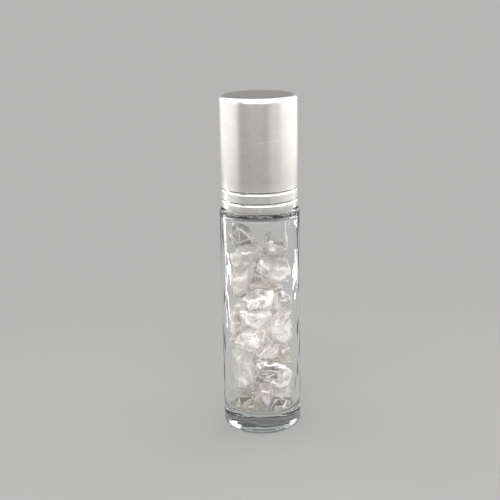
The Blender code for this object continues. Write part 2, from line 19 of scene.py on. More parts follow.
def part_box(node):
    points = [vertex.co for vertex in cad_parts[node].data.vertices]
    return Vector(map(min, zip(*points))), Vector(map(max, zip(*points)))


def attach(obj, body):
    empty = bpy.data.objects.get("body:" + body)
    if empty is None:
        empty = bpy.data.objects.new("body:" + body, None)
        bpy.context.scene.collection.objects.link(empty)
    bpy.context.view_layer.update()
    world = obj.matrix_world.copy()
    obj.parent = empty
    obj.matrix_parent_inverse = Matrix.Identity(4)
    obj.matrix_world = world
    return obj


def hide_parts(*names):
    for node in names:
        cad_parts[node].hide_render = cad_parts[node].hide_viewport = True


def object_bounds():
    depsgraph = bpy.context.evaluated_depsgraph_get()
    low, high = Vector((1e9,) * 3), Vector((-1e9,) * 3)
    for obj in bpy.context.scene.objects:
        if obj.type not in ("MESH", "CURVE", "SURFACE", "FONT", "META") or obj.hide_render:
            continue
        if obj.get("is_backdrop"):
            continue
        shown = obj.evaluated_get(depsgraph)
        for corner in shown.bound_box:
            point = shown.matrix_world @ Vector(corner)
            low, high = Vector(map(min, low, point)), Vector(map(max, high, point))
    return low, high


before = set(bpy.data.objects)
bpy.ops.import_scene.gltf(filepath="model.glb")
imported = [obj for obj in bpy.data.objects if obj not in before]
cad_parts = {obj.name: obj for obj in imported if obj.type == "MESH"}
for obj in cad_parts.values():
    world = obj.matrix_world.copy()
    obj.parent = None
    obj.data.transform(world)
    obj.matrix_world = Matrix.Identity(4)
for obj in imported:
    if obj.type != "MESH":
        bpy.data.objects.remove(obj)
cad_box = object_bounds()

MM = 0.001
scene = bpy.context.scene
scene.view_settings.view_transform = "Standard"

# %% [markdown]
# ## The camera
# The photograph was taken from a little above, close enough for the bottle's base to be seen more from above
# than its cap. A camera 243 mm in front and 115 mm up, tilted down by about 16 degrees, gives the same lines.
# Its small roll and yaw come from the photographer's hand.

# %% Camera at the photograph's angle
CAMERA_PLACE = Vector((0, -243 * MM, 115 * MM))
CAMERA_PITCH, CAMERA_ROLL, CAMERA_YAW = (math.radians(angle) for angle in (15.67, -0.98, -0.61))
FRAME_WIDTHS_TO_FOCUS = 2.0  # focal length over the frame's width

camera = bpy.data.objects.new("photo_camera", bpy.data.cameras.new("photo_camera"))
scene.collection.objects.link(camera)
camera.data.sensor_width = 36
camera.data.lens = camera.data.sensor_width * FRAME_WIDTHS_TO_FOCUS
camera.data.clip_start = 0.01
turn = Matrix.Rotation(-CAMERA_YAW, 4, "Z") @ Matrix.Rotation(math.pi / 2 - CAMERA_PITCH, 4, "X")
camera.matrix_world = Matrix.Translation(CAMERA_PLACE) @ turn @ Matrix.Rotation(CAMERA_ROLL, 4, "Z")
scene.camera = camera
print("Camera looks along", tuple(round(x, 3) for x in -camera.matrix_world.col[2].xyz))

# %% [markdown]
# ## Writing node trees as steps
# Blender's materials and Geometry Nodes are both trees of nodes. Written out in full, a tree is mostly calls
# that make a node and calls that link it. This small class keeps each step on one line: a value given to a
# node is either a number, which goes on the socket, or another node's output, which is linked. The kinds of
# node that come back often have a short name of their own.

# %% A short way to write node trees
class Wiring:
    """Adds nodes to a tree, one step at a time."""

    def __init__(self, tree):
        self.tree = tree

    def node(self, kind, values=None, **settings):
        made = self.tree.nodes.new(kind)
        for name, value in settings.items():
            setattr(made, name, value)
        for socket, value in (values or {}).items():
            if isinstance(value, bpy.types.NodeSocket):
                self.tree.links.new(value, made.inputs[socket])
            else:
                made.inputs[socket].default_value = value
        return made

    def result(self, kind, values=None, **settings):
        """Adds a node and gives its first output."""
        return self.node(kind, values, **settings).outputs[0]

    def math(self, operation, *values):
        return self.result("ShaderNodeMath", dict(enumerate(values)), operation=operation)

    def plus(self, a, b):
        return self.math("ADD", a, b)

    def minus(self, a, b):
        return self.math("SUBTRACT", a, b)

    def times(self, *values):
        return functools.reduce(functools.partial(self.math, "MULTIPLY"), values)

    def most(self, *values):
        return functools.reduce(functools.partial(self.math, "MAXIMUM"), values)

    def vector(self, operation, *values):
        return self.result("ShaderNodeVectorMath", dict(enumerate(values)), operation=operation)

    def dot(self, a, b):
        return self.node("ShaderNodeVectorMath", {0: a, 1: b}, operation="DOT_PRODUCT").outputs["Value"]

    def length(self, a):
        return self.node("ShaderNodeVectorMath", {0: a}, operation="LENGTH").outputs["Value"]

    def scaled(self, a, factor):
        return self.result("ShaderNodeVectorMath", {0: a, 3: factor}, operation="SCALE")

    def xyz(self, x=0.0, y=0.0, z=0.0):
        return self.result("ShaderNodeCombineXYZ", {0: x, 1: y, 2: z})

    def parts(self, a):
        """The three parts of a vector, by the names X, Y and Z."""
        return self.node("ShaderNodeSeparateXYZ", {0: a}).outputs

    def ramp(self, value, start, end, low=0.0, high=1.0):
        """Goes smoothly from low to high while the value goes from start to end."""
        values = {0: value, 1: start, 2: end, 3: low, 4: high}
        return self.result("ShaderNodeMapRange", values, interpolation_type="SMOOTHSTEP")

    def noise(self, place, scale, detail=2.0, **values):
        return self.result("ShaderNodeTexNoise", {"Vector": place, "Scale": scale, "Detail": detail, **values})

    def drift(self, place, scale):
        """A noise of three numbers at each place, to shift places by."""
        return self.node("ShaderNodeTexNoise", {"Vector": place, "Scale": scale, "Detail": 2.0}).outputs["Color"]

    def cells(self, place, scale, feature="F1", **values):
        """How far a place is from the middle of the cell that it is in."""
        values = {"Vector": place, "Scale": scale, **values}
        return self.node("ShaderNodeTexVoronoi", values, feature=feature).outputs["Distance"]

    def bump(self, height, strength, distance):
        return self.result("ShaderNodeBump", {"Strength": strength, "Distance": distance, "Height": height})

    def mix_colour(self, factor, a, b):
        return self.node("ShaderNodeMix", {0: factor, 6: a, 7: b}, data_type="RGBA").outputs[2]


def geometry_tree(name, **inputs):
    """A Geometry Nodes tree with a mesh input and the given inputs, as (socket type, default)."""
    tree = bpy.data.node_groups.new(name, "GeometryNodeTree")
    tree.interface.new_socket("Geometry", in_out="INPUT", socket_type="NodeSocketGeometry")
    tree.interface.new_socket("Geometry", in_out="OUTPUT", socket_type="NodeSocketGeometry")
    for title, (kind, default) in inputs.items():
        socket = tree.interface.new_socket(title.replace("_", " "), in_out="INPUT", socket_type=kind)
        if default is not None:
            socket.default_value = default
    wiring = Wiring(tree)
    return tree, wiring, wiring.node("NodeGroupInput").outputs


def end_tree(wiring, geometry, material):
    """Ends a tree as every tree here ends: real geometry, with its material set."""
    real = wiring.result("GeometryNodeRealizeInstances", {0: geometry})
    dressed = wiring.result("GeometryNodeSetMaterial", {"Geometry": real, "Material": material})
    wiring.node("NodeGroupOutput", {0: dressed})


def shaded_smooth(wiring, geometry, sharp_angle):
    """Smooth shading, with the edges left sharp that bend by more than an angle."""
    smooth = wiring.result("GeometryNodeSetShadeSmooth", {0: geometry, 2: True})
    bend = wiring.result("GeometryNodeInputMeshEdgeAngle")
    sharp = wiring.math("GREATER_THAN", bend, sharp_angle)
    return wiring.result("GeometryNodeSetShadeSmooth", {0: smooth, 1: sharp, 2: False}, domain="EDGE")


print("Wiring ready")

# %% [markdown]
# ## From a tree to a plain mesh
# A tree runs as a modifier on a host mesh. Once its inputs are set, the evaluated result is copied into a plain
# mesh and the modifier goes, so that each piece is a plain mesh. A closed piece whose volume comes
# out negative is inside out, so its faces are turned round.

# %% Run a tree and keep the result
MERGE_DISTANCE = 1e-4 * MM


def clean(mesh):
    """Merges what meets, drops loose edges, and points the faces outwards."""
    shape = bmesh.new()
    shape.from_mesh(mesh)
    bmesh.ops.remove_doubles(shape, verts=shape.verts, dist=MERGE_DISTANCE)
    loose = [edge for edge in shape.edges if not edge.link_faces]
    bmesh.ops.delete(shape, geom=loose, context="EDGES")
    bmesh.ops.delete(shape, geom=[vert for vert in shape.verts if not vert.link_edges], context="VERTS")
    if shape.calc_volume(signed=True) < 0:
        bmesh.ops.reverse_faces(shape, faces=shape.faces)
    open_edges = sum(1 for edge in shape.edges if len(edge.link_faces) != 2)
    shape.to_mesh(mesh)
    shape.free()
    return open_edges


def grown(name, host_mesh, tree, **inputs):
    """Runs a tree on a mesh and returns the result as a plain object of that name."""
    piece = bpy.data.objects.new(name, host_mesh)
    scene.collection.objects.link(piece)
    modifier = piece.modifiers.new(tree.name, "NODES")
    modifier.node_group = tree
    sockets = {item.name: item.identifier for item in tree.interface.items_tree if item.in_out == "INPUT"}
    for title, value in inputs.items():
        modifier[sockets[title.replace("_", " ")]] = value
    depsgraph = bpy.context.evaluated_depsgraph_get()
    made = bpy.data.meshes.new_from_object(
        piece.evaluated_get(depsgraph), preserve_all_data_layers=True, depsgraph=depsgraph
    )
    piece.modifiers.remove(modifier)
    piece.data = made
    made.name = name
    open_edges = clean(made)
    print(f"{name}: {len(made.polygons)} faces, {open_edges} open edges")
    return piece


def worn_by(piece, body, slot, *nodes):
    """Puts a piece on its body and hides the CAD nodes that it stands for. Its record slot is not used."""
    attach(piece, body)
    if nodes:
        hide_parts(*nodes)


# %% [markdown]
# ## Turned pieces
# The bottle, the roller housing, the seal disc and both layers of the cap are round about one axis, so each is
# an outline turned about that axis. A lathe tree does it: a grid has one column for each point of the outline
# and one row for each step round, and every point of the grid looks up its radius and height in the outline.
# The screw thread is part of the same tree. It pushes the marked stretch of the outline out along a helix, so
# the ridge grows out of the wall without a seam, as it does on moulded glass.

# %% The outline of a turned piece
class Outline:
    """Points of (radius, height), each with a mark for the thread and one for slight waviness."""

    def __init__(self, radius, height):
        self.points = [(radius, height)]
        self.thread = [0.0]
        self.wave = [0.0]

    def to(self, radius, height, steps=1, thread=0.0, wave=0.0):
        start = self.points[-1]
        for step in range(1, steps + 1):
            share = step / steps
            self.points.append(tuple(a + (b - a) * share for a, b in zip(start, (radius, height))))
            self.thread.append(thread)
            self.wave.append(wave)
        return self

    def round(self, across, up, radius, start, end, steps=8):
        """An arc about the point (across, up), with its angles in degrees. Both its ends are points."""
        for step in range(steps + 1):
            angle = math.radians(start + (end - start) * step / steps)
            self.to(across + radius * math.cos(angle), up + radius * math.sin(angle))
        return self

    def mesh(self, name):
        mesh = bpy.data.meshes.new(name)
        mesh.from_pydata([(radius, 0, height) for radius, height in self.points], [], [])
        for title, marks in (("thread", self.thread), ("wave", self.wave)):
            mesh.attributes.new(title, "FLOAT", "POINT").data.foreach_set("value", marks)
        return mesh


# %% The lathe tree
SHARP_BEND = math.radians(28)


def lathe_tree():
    tree, w, given = geometry_tree(
        "Lathe",
        Steps_round=("NodeSocketInt", 160),
        Closed_outline=("NodeSocketInt", 0),
        Thread_depth=("NodeSocketFloat", 0.0),
        Thread_start=("NodeSocketFloat", 0.0),
        Thread_lead=("NodeSocketFloat", 3.0 * MM),
        Thread_turns=("NodeSocketFloat", 1.5),
        Thread_foot_width=("NodeSocketFloat", 1.6 * MM),
        Thread_crest_width=("NodeSocketFloat", 0.4 * MM),
        Wave_height=("NodeSocketFloat", 0.0),
        Material=("NodeSocketMaterial", None),
    )
    count = w.node("GeometryNodeAttributeDomainSize", {0: given["Geometry"]}).outputs["Point Count"]
    columns = w.plus(count, given["Closed outline"])
    rows = w.plus(given["Steps round"], 1)
    width = w.minus(columns, 1)
    sizes = {0: width, 1: given["Steps round"], 2: columns, 3: rows}
    grid = w.node("GeometryNodeMeshGrid", sizes).outputs["Mesh"]
    place = w.parts(w.result("GeometryNodeInputPosition"))
    column = w.math("ROUND", w.math("MULTIPLY_ADD", width, 0.5, place["X"]))
    row = w.math("ROUND", w.math("MULTIPLY_ADD", given["Steps round"], 0.5, place["Y"]))
    index = w.math("MODULO", column, count)

    def looked_up(kind, value):
        values = {"Geometry": given["Geometry"], "Value": value, "Index": index}
        return w.result("GeometryNodeSampleIndex", values, data_type=kind)

    def mark(title):
        named = w.result("GeometryNodeInputNamedAttribute", {"Name": title}, data_type="FLOAT")
        return looked_up("FLOAT", named)

    point = w.parts(looked_up("FLOAT_VECTOR", w.result("GeometryNodeInputPosition")))
    share = w.math("DIVIDE", row, given["Steps round"])
    angle = w.times(share, math.tau)
    # Which turn of the helix is nearest to this height, and how far along the thread that is
    rise = w.math("DIVIDE", w.minus(point["Z"], given["Thread start"]), given["Thread lead"])
    turns = w.plus(share, w.math("ROUND", w.minus(rise, share)))
    off = w.times(w.math("ABSOLUTE", w.minus(rise, turns)), given["Thread lead"])
    foot = w.times(given["Thread foot width"], 0.5)
    crest = w.times(given["Thread crest width"], 0.5)
    # The ridge grows and fades over the first and the last eighth of a turn
    run_in = w.ramp(turns, 0.0, 0.12)
    run_out = w.ramp(w.minus(given["Thread turns"], turns), 0.0, 0.12)
    ridge = w.times(w.ramp(off, foot, crest), w.times(run_in, run_out))
    push = w.times(ridge, mark("thread"), given["Thread depth"])
    across = w.xyz(w.math("COSINE", angle), w.math("SINE", angle))
    up = w.xyz(z=point["Z"])
    lumps = w.noise(w.vector("ADD", across, w.scaled(up, 90.0)), 1.3, detail=1.0)
    lumps = w.times(w.minus(lumps, 0.5), mark("wave"))
    push = w.plus(push, w.times(lumps, given["Wave height"]))
    radius = w.plus(point["X"], push)
    target = w.vector("ADD", w.scaled(across, radius), up)
    turned = w.result("GeometryNodeSetPosition", {"Geometry": grid, "Position": target})
    joined = w.result("GeometryNodeMergeByDistance", {"Geometry": turned, "Distance": MERGE_DISTANCE})
    end_tree(w, shaded_smooth(w, joined, SHARP_BEND), given["Material"])
    return tree


LATHE = lathe_tree()
print("Lathe tree:", len(LATHE.nodes), "nodes")

# %% [markdown]
# ## Glass
# Bottle glass is clear with a faint green, which shows only where it is thick, in the floor. Its surface is
# polished by the flame, but not perfectly even: slight ripples bend what is seen through it. Lamps have to
# reach the chips inside, and tracing their light through both surfaces is slow and noisy. So for shadow rays
# and for light that bounces off a dull surface, the glass is plainly transparent, and for all else it refracts.

# %% Glass, and what the finishes share
def new_material(name):
    material = bpy.data.materials.new(name)
    material.use_nodes = True
    material.node_tree.nodes.clear()
    return material, Wiring(material.node_tree)


def lets_lamps_through(w, shader, tint, share):
    """A see-through finish that doesn't stop the lamps' light."""
    rays = w.node("ShaderNodeLightPath").outputs
    factor = w.times(w.most(rays["Is Shadow Ray"], rays["Is Diffuse Ray"]), share)
    clear = w.result("ShaderNodeBsdfTransparent", {"Color": tint})
    mixed = w.result("ShaderNodeMixShader", {0: factor, 1: shader, 2: clear})
    w.node("ShaderNodeOutputMaterial", {"Surface": mixed})


def in_millimetres(w):
    """The place on the object in millimetres, for patterns of a real size."""
    return w.scaled(w.node("ShaderNodeTexCoord").outputs["Object"], 1 / MM)


def principled(w, colour, roughness, bump, **others):
    """The main shader of every finish on the object. Its other sockets are named with _ for a space."""
    values = {"Base Color": colour, "Roughness": roughness, "Normal": bump}
    values.update({title.replace("_", " "): value for title, value in others.items()})
    return w.result("ShaderNodeBsdfPrincipled", values)


THIN_GLASS, THICK_GLASS = (0.985, 0.993, 0.990, 1), (0.895, 0.962, 0.945, 1)


def bottle_glass():
    material, w = new_material("bottle_glass")
    place = in_millimetres(w)
    thick = w.ramp(w.parts(place)["Z"], 5.5, 1.5)
    colour = w.mix_colour(thick, THIN_GLASS, THICK_GLASS)
    ripple = w.noise(w.vector("MULTIPLY", place, (1.0, 1.0, 0.35)), 0.35, detail=1.0)
    seeds = w.noise(place, 3.0, detail=0.0)
    shader = principled(
        w, colour, w.ramp(seeds, 0.62, 0.80, 0.0, 0.04), w.bump(ripple, 0.6, 0.3 * MM),
        Transmission_Weight=1.0, IOR=1.52,
    )
    lets_lamps_through(w, shader, (0.97, 0.98, 0.975, 1), 1.0)
    return material


GLASS = bottle_glass()
print("Glass:", len(GLASS.node_tree.nodes), "nodes")

# %% [markdown]
# ## The glass bottle
# The wall is 1.55 mm thick and the floor 4.4 mm, so what shows through the glass is framed by the bright lines
# of the inner surface. The outline runs from the middle of the base out and up over the shoulder, the threaded
# neck and the lip, then back down inside. The inner wall is marked wavy, because only the outside is moulded
# against steel: the inside is where the blown glass ended up.

# %% Turn the glass bottle
glass_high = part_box("glass_bottle")[1]
GLASS_RADIUS, LIP_HEIGHT = glass_high.x, glass_high.z
GLASS_WALL, FLOOR_HEIGHT = 1.55 * MM, 4.4 * MM
INSIDE_RADIUS = GLASS_RADIUS - GLASS_WALL
SHOULDER_HEIGHT = 58.2 * MM
NECK_RADIUS, NECK_BORE = 7.0 * MM, 5.1 * MM
CEILING_HEIGHT = 56.9 * MM
THREAD_DEPTH, THREAD_LEAD = 0.6 * MM, 3.0 * MM
THREAD_START = SHOULDER_HEIGHT + 2.2 * MM
THREAD_FINENESS = 0.14 * MM


def glass_outline():
    heel, shoulder, lip, root = 2.0 * MM, 1.0 * MM, 0.6 * MM, 0.35 * MM
    push_up, depth = 5.5 * MM, 0.5 * MM
    throat, ceiling, floor = 0.65 * MM, 1.3 * MM, 2.2 * MM
    line = Outline(0, depth)
    line.to(push_up * 0.5, depth * 0.96).to(push_up * 0.75, depth * 0.7).to(push_up * 0.9, depth * 0.25)
    line.to(push_up, 0)
    line.round(GLASS_RADIUS - heel, heel, heel, -90, 0, steps=14)
    line.to(GLASS_RADIUS, SHOULDER_HEIGHT - shoulder, steps=30)
    line.round(GLASS_RADIUS - shoulder, SHOULDER_HEIGHT - shoulder, shoulder, 0, 90, steps=10)
    line.round(NECK_RADIUS + root, SHOULDER_HEIGHT + root, root, 270, 180, steps=6)
    line.to(NECK_RADIUS, LIP_HEIGHT - lip, steps=round((LIP_HEIGHT - lip - SHOULDER_HEIGHT) / THREAD_FINENESS),
            thread=1.0)
    line.round(NECK_RADIUS - lip, LIP_HEIGHT - lip, lip, 0, 90, steps=6)
    line.round(NECK_BORE + lip, LIP_HEIGHT - lip, lip, 90, 180, steps=6)
    line.round(NECK_BORE + throat, CEILING_HEIGHT + throat, throat, 180, 270, steps=6)
    line.round(INSIDE_RADIUS - ceiling, CEILING_HEIGHT - ceiling, ceiling, 90, 0, steps=10)
    line.to(INSIDE_RADIUS, FLOOR_HEIGHT + floor, steps=50, wave=1.0)
    line.round(INSIDE_RADIUS - floor, FLOOR_HEIGHT + floor, floor, 0, -90, steps=12)
    line.to(INSIDE_RADIUS * 0.4, FLOOR_HEIGHT - 0.1 * MM).to(0, FLOOR_HEIGHT - 0.15 * MM)
    return line.mesh("glass_outline")


glass_bottle = grown(
    "bottle_glass", glass_outline(), LATHE,
    Steps_round=180, Thread_depth=THREAD_DEPTH, Thread_start=THREAD_START, Thread_lead=THREAD_LEAD,
    Wave_height=0.22 * MM, Material=GLASS,
)
worn_by(glass_bottle, "bottle", "clear_glass", "glass_bottle")

# %% [markdown]
# ## Satin aluminium
# The cap is anodised after a fine blast, so its grain has no direction: each grain tips the light a little,
# which spreads a lamp's reflection into a soft band. The two grooves are cut later with a diamond tool and stay
# mirror bright, each with a dark line painted along its upper side, a painted reflection of the shade. Handling
# leaves a few hairline scratches and specks of dust, which catch the light, and rubs the sharp edges brighter.
# The whole rounded top edge is painted brighter as well, a painted highlight.

# %% The cap's sizes and the marks that handling left
cap_low, cap_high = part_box("cap_shell")
CAP_RADIUS, CAP_FOOT, CAP_TOP = cap_high.x, cap_low.z, cap_high.z
CAP_WALL, CAP_ROUNDING = 0.5 * MM, 1.3 * MM
CAP_INSIDE = CAP_RADIUS - CAP_WALL
GROOVE_WIDTH, GROOVE_DEPTH = 0.85 * MM, 0.22 * MM
GROOVE_HEIGHTS = (CAP_FOOT + 1.9 * MM, CAP_FOOT + 4.6 * MM)
# Hairline scratches on the cap: bearing from the front and height in the middle, length round the cap and
# rise along it, and how plainly each shows. Degrees and millimetres.
SCRATCHES = (
    (3.5, 75.5, 11.0, 0.0, 1.0),
    (22.0, 75.75, 28.0, -0.15, 0.8),
    (40.0, 75.3, 16.0, -0.2, 0.5),
    (27.5, 76.1, 6.0, 0.1, 1.0),
    (-7.0, 78.1, 13.0, 0.0, 0.5),
    (-7.0, 77.6, 13.0, 0.1, 0.4),
    (1.0, 74.6, 3.5, 0.3, 0.6),
    (-2.0, 73.3, 3.0, 0.2, 0.5),
    (3.0, 73.1, 3.0, -0.3, 0.5),
    (24.0, 63.8, 9.0, 2.2, 0.5),
    (150.0, 70.0, 30.0, 1.5, 0.7),
    (205.0, 79.0, 22.0, -0.8, 0.6),
    (262.0, 66.5, 18.0, 0.4, 0.6),
)


def around_and_up(w, place):
    """The bearing from the front in degrees, clockwise from above, and the height in millimetres."""
    parts = w.parts(place)
    turn = w.math("ARCTAN2", parts["X"], w.times(parts["Y"], -1.0))
    bearing = w.math("MODULO", w.plus(w.times(turn, 180 / math.pi), 360.0), 360.0)
    return bearing, parts["Z"]


def scratch(w, bearing, height, middle, level, length, rise, strength):
    """How much of one hairline scratch is at a place, from 0 to 1."""
    apart = w.minus(bearing, middle % 360.0)
    apart = w.minus(apart, w.times(w.math("ROUND", w.math("DIVIDE", apart, 360.0)), 360.0))
    ends = w.ramp(w.math("ABSOLUTE", apart), length * 0.5, length * 0.3)
    line = w.math("MULTIPLY_ADD", apart, rise / length, level)
    beside = w.ramp(w.math("ABSOLUTE", w.minus(height, line)), 0.16, 0.03)
    return w.times(ends, beside, strength)


def handling_marks(w, place, bearing, height):
    """Hairline scratches, which break off here and there, and specks of dust."""
    marks = w.most(0.0, *(scratch(w, bearing, height, *row) for row in SCRATCHES))
    marks = w.times(marks, w.ramp(w.noise(place, 4.0, detail=3.0), 0.38, 0.55))
    specks = w.ramp(w.cells(place, 0.75), 0.13, 0.07, 0.0, 0.5)
    dusty = w.ramp(w.noise(place, 0.4), 0.46, 0.60)
    return w.most(marks, w.times(specks, dusty))


print("Cap:", round(CAP_RADIUS / MM, 2), "mm in radius,", round((CAP_TOP - CAP_FOOT) / MM, 1), "mm long")

# %% Satin aluminium with bright-cut grooves
SATIN_SHADES = (0.680, 0.655, 0.628, 1), (0.718, 0.696, 0.668, 1)
# The second colour is painted along each groove's upper side: a painted reflection of the shade.
BARE_METAL, PAINTED_GROOVE_REFLECTION = (0.92, 0.915, 0.905, 1), (0.10, 0.10, 0.10, 1)


def groove_bands(w, height):
    """The bright band of each groove, and the painted dark line along its upper part, a painted reflection of the
    shade.
    """
    width = GROOVE_WIDTH / MM
    cut, dark = 0.0, 0.0
    for level in GROOVE_HEIGHTS:
        above = w.minus(height, level / MM)
        cut = w.most(cut, w.ramp(w.math("ABSOLUTE", above), width * 0.5, width * 0.42))
        off = w.math("ABSOLUTE", w.minus(above, width * 0.34))
        dark = w.most(dark, w.ramp(off, width * 0.20, width * 0.10))
    return cut, dark


def satin_aluminium():
    material, w = new_material("satin_aluminium")
    place = in_millimetres(w)
    bearing, height = around_and_up(w, place)
    marks = handling_marks(w, place, bearing, height)
    from_axis = w.length(w.vector("MULTIPLY", place, (1, 1, 0)))
    outside = w.ramp(from_axis, CAP_RADIUS / MM - 0.35, CAP_RADIUS / MM - 0.3)
    cut, dark = (w.times(band, outside) for band in groove_bands(w, height))
    dark = w.times(dark, w.ramp(w.noise(place, 0.7, detail=3.0), 0.35, 0.55, 0.35, 0.95))
    # Painted highlight: the whole rounded top edge is painted bright all round. The sharp edges that pointiness
    # finds are rubbed brighter.
    near_top = w.ramp(height, (CAP_TOP - CAP_ROUNDING) / MM - 0.3, CAP_TOP / MM - 0.8)
    near_side = w.ramp(from_axis, (CAP_RADIUS - CAP_ROUNDING) / MM, CAP_RADIUS / MM - 1.0)
    edges = w.ramp(w.node("ShaderNodeNewGeometry").outputs["Pointiness"], 0.505, 0.53)
    rubbed_edges_and_painted_highlight = w.most(edges, w.times(near_top, near_side))
    tone = w.mix_colour(w.ramp(w.noise(place, 0.5, detail=3.0), 0.35, 0.65), *SATIN_SHADES)
    tone = w.mix_colour(w.most(marks, cut, rubbed_edges_and_painted_highlight), tone, BARE_METAL)
    # Painted reflection: a dark line is painted along each groove's upper side, where the metal would mirror the
    # shade.
    tone = w.mix_colour(dark, tone, PAINTED_GROOVE_REFLECTION)
    grain = w.noise(place, 14.0, detail=3.0)
    roughness = w.math("MULTIPLY_ADD", grain, 0.10, 0.26)
    roughness = w.times(roughness, w.math("MULTIPLY_ADD", cut, -0.55, 1.0))
    turning = w.noise(w.vector("MULTIPLY", place, (0.2, 0.2, 9.0)), 1.0, detail=1.0)
    relief = w.minus(w.plus(w.times(grain, 0.5), w.times(turning, cut, 1.5)), marks)
    shader = principled(w, tone, roughness, w.bump(relief, 0.25, 0.03 * MM), Metallic=1.0)
    w.node("ShaderNodeOutputMaterial", {"Surface": shader})
    return material


ALUMINIUM = satin_aluminium()
print("Satin aluminium:", len(ALUMINIUM.node_tree.nodes), "nodes")

# %% [markdown]
# ## The aluminium cap
# The cap is drawn from sheet, so its wall is thin and its top edge a soft round of 1.3 mm. The lathe takes it
# from the middle of its underside, down the inside, round the foot and up the outside over the two grooves.
# Smooth shading would smear a groove's edge over the next long face, so a short face lies beside each edge.

# %% Turn the aluminium cap
def groove_arc(line, level):
    """Adds a shallow arc that dips into the cap's side, with a crisp edge above and below."""
    half, shoulder = GROOVE_WIDTH / 2, 0.08 * MM
    reach = (half * half + GROOVE_DEPTH * GROOVE_DEPTH) / (2 * GROOVE_DEPTH)
    spread = math.degrees(math.asin(half / reach))
    line.to(CAP_RADIUS, level - half - shoulder)
    line.round(CAP_RADIUS + reach - GROOVE_DEPTH, level, reach, 180 + spread, 180 - spread, steps=10)
    line.to(CAP_RADIUS, level + half + shoulder)


def cap_outline():
    inner_round, foot_round = CAP_ROUNDING - CAP_WALL, 0.16 * MM
    underside, side_top = CAP_TOP - CAP_WALL, CAP_TOP - CAP_ROUNDING
    line = Outline(0, underside)
    line.round(CAP_INSIDE - inner_round, underside - inner_round, inner_round, 90, 0, steps=8)
    line.to(CAP_INSIDE, CAP_FOOT)
    line.round(CAP_RADIUS - foot_round, CAP_FOOT + foot_round, foot_round, -90, 0, steps=5)
    for level in GROOVE_HEIGHTS:
        groove_arc(line, level)
    line.to(CAP_RADIUS, side_top - 0.2 * MM, steps=6).to(CAP_RADIUS, side_top)
    line.round(CAP_RADIUS - CAP_ROUNDING, side_top, CAP_ROUNDING, 0, 90, steps=14)
    line.to(0, CAP_TOP, steps=3)
    return line.mesh("cap_outline")


cap_shell = grown("aluminium_cap", cap_outline(), LATHE, Steps_round=200, Material=ALUMINIUM)
worn_by(cap_shell, "cap", "satin_aluminium", "cap_shell")

# %% [markdown]
# ## Moulded plastics and foam
# The inner cap is white polypropylene and the roller housing is the same plastic undyed, which lets a little
# light in. Moulded plastic is smooth, with faint flow marks and a slight softness at its edges. The seal disc is
# foamed: under a lens its skin is covered with fine cells, and it is dull.

# %% Plastic and foam finishes
def moulded_plastic(name, light, dark, depth):
    material, w = new_material(name)
    place = in_millimetres(w)
    flow = w.noise(w.vector("MULTIPLY", place, (0.5, 0.5, 1.4)), 0.9, detail=4.0, Distortion=0.6)
    skin = w.noise(place, 9.0)
    shader = principled(
        w, w.mix_colour(w.ramp(flow, 0.3, 0.7), dark, light), w.math("MULTIPLY_ADD", skin, 0.18, 0.26),
        w.bump(skin, 0.2, 0.03 * MM), IOR=1.49, Subsurface_Weight=depth,
        Subsurface_Radius=(1.0, 1.0, 1.0), Subsurface_Scale=0.8 * MM,
    )
    w.node("ShaderNodeOutputMaterial", {"Surface": shader})
    return material


def foam():
    material, w = new_material("seal_foam")
    cells = w.cells(in_millimetres(w), 5.0)
    skin, pit = (0.86, 0.86, 0.84, 1), (0.76, 0.76, 0.73, 1)
    tone = w.mix_colour(w.ramp(cells, 0.1, 0.6), skin, pit)
    shader = principled(w, tone, 0.75, w.bump(cells, 0.5, 0.06 * MM))
    w.node("ShaderNodeOutputMaterial", {"Surface": shader})
    return material


WHITE_PLASTIC = moulded_plastic("white_plastic", (0.87, 0.87, 0.86, 1), (0.82, 0.82, 0.81, 1), 0.15)
NATURAL_PLASTIC = moulded_plastic("natural_plastic", (0.82, 0.84, 0.83, 1), (0.74, 0.77, 0.76, 1), 0.5)
FOAM = foam()
print("Plastics and foam ready")

# %% [markdown]
# ## The roller housing
# This part snaps into the neck. Below its flange are two beads that seal against the bore, and above it the
# socket closes past the ball's widest place, so that the ball rolls but can't come out.

# %% Turn the roller housing
ball_low, ball_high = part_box("roller_ball")
BALL_RADIUS, BALL_HEIGHT = ball_high.x, (ball_low.z + ball_high.z) / 2
housing_low, housing_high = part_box("roller_housing")
FLANGE_RADIUS, PLUG_FOOT, HOUSING_TOP = housing_high.x, housing_low.z, housing_high.z
CLEARANCE = 0.3 * MM  # what the CAD model leaves between neighbours
SOCKET_RADIUS = BALL_RADIUS + CLEARANCE


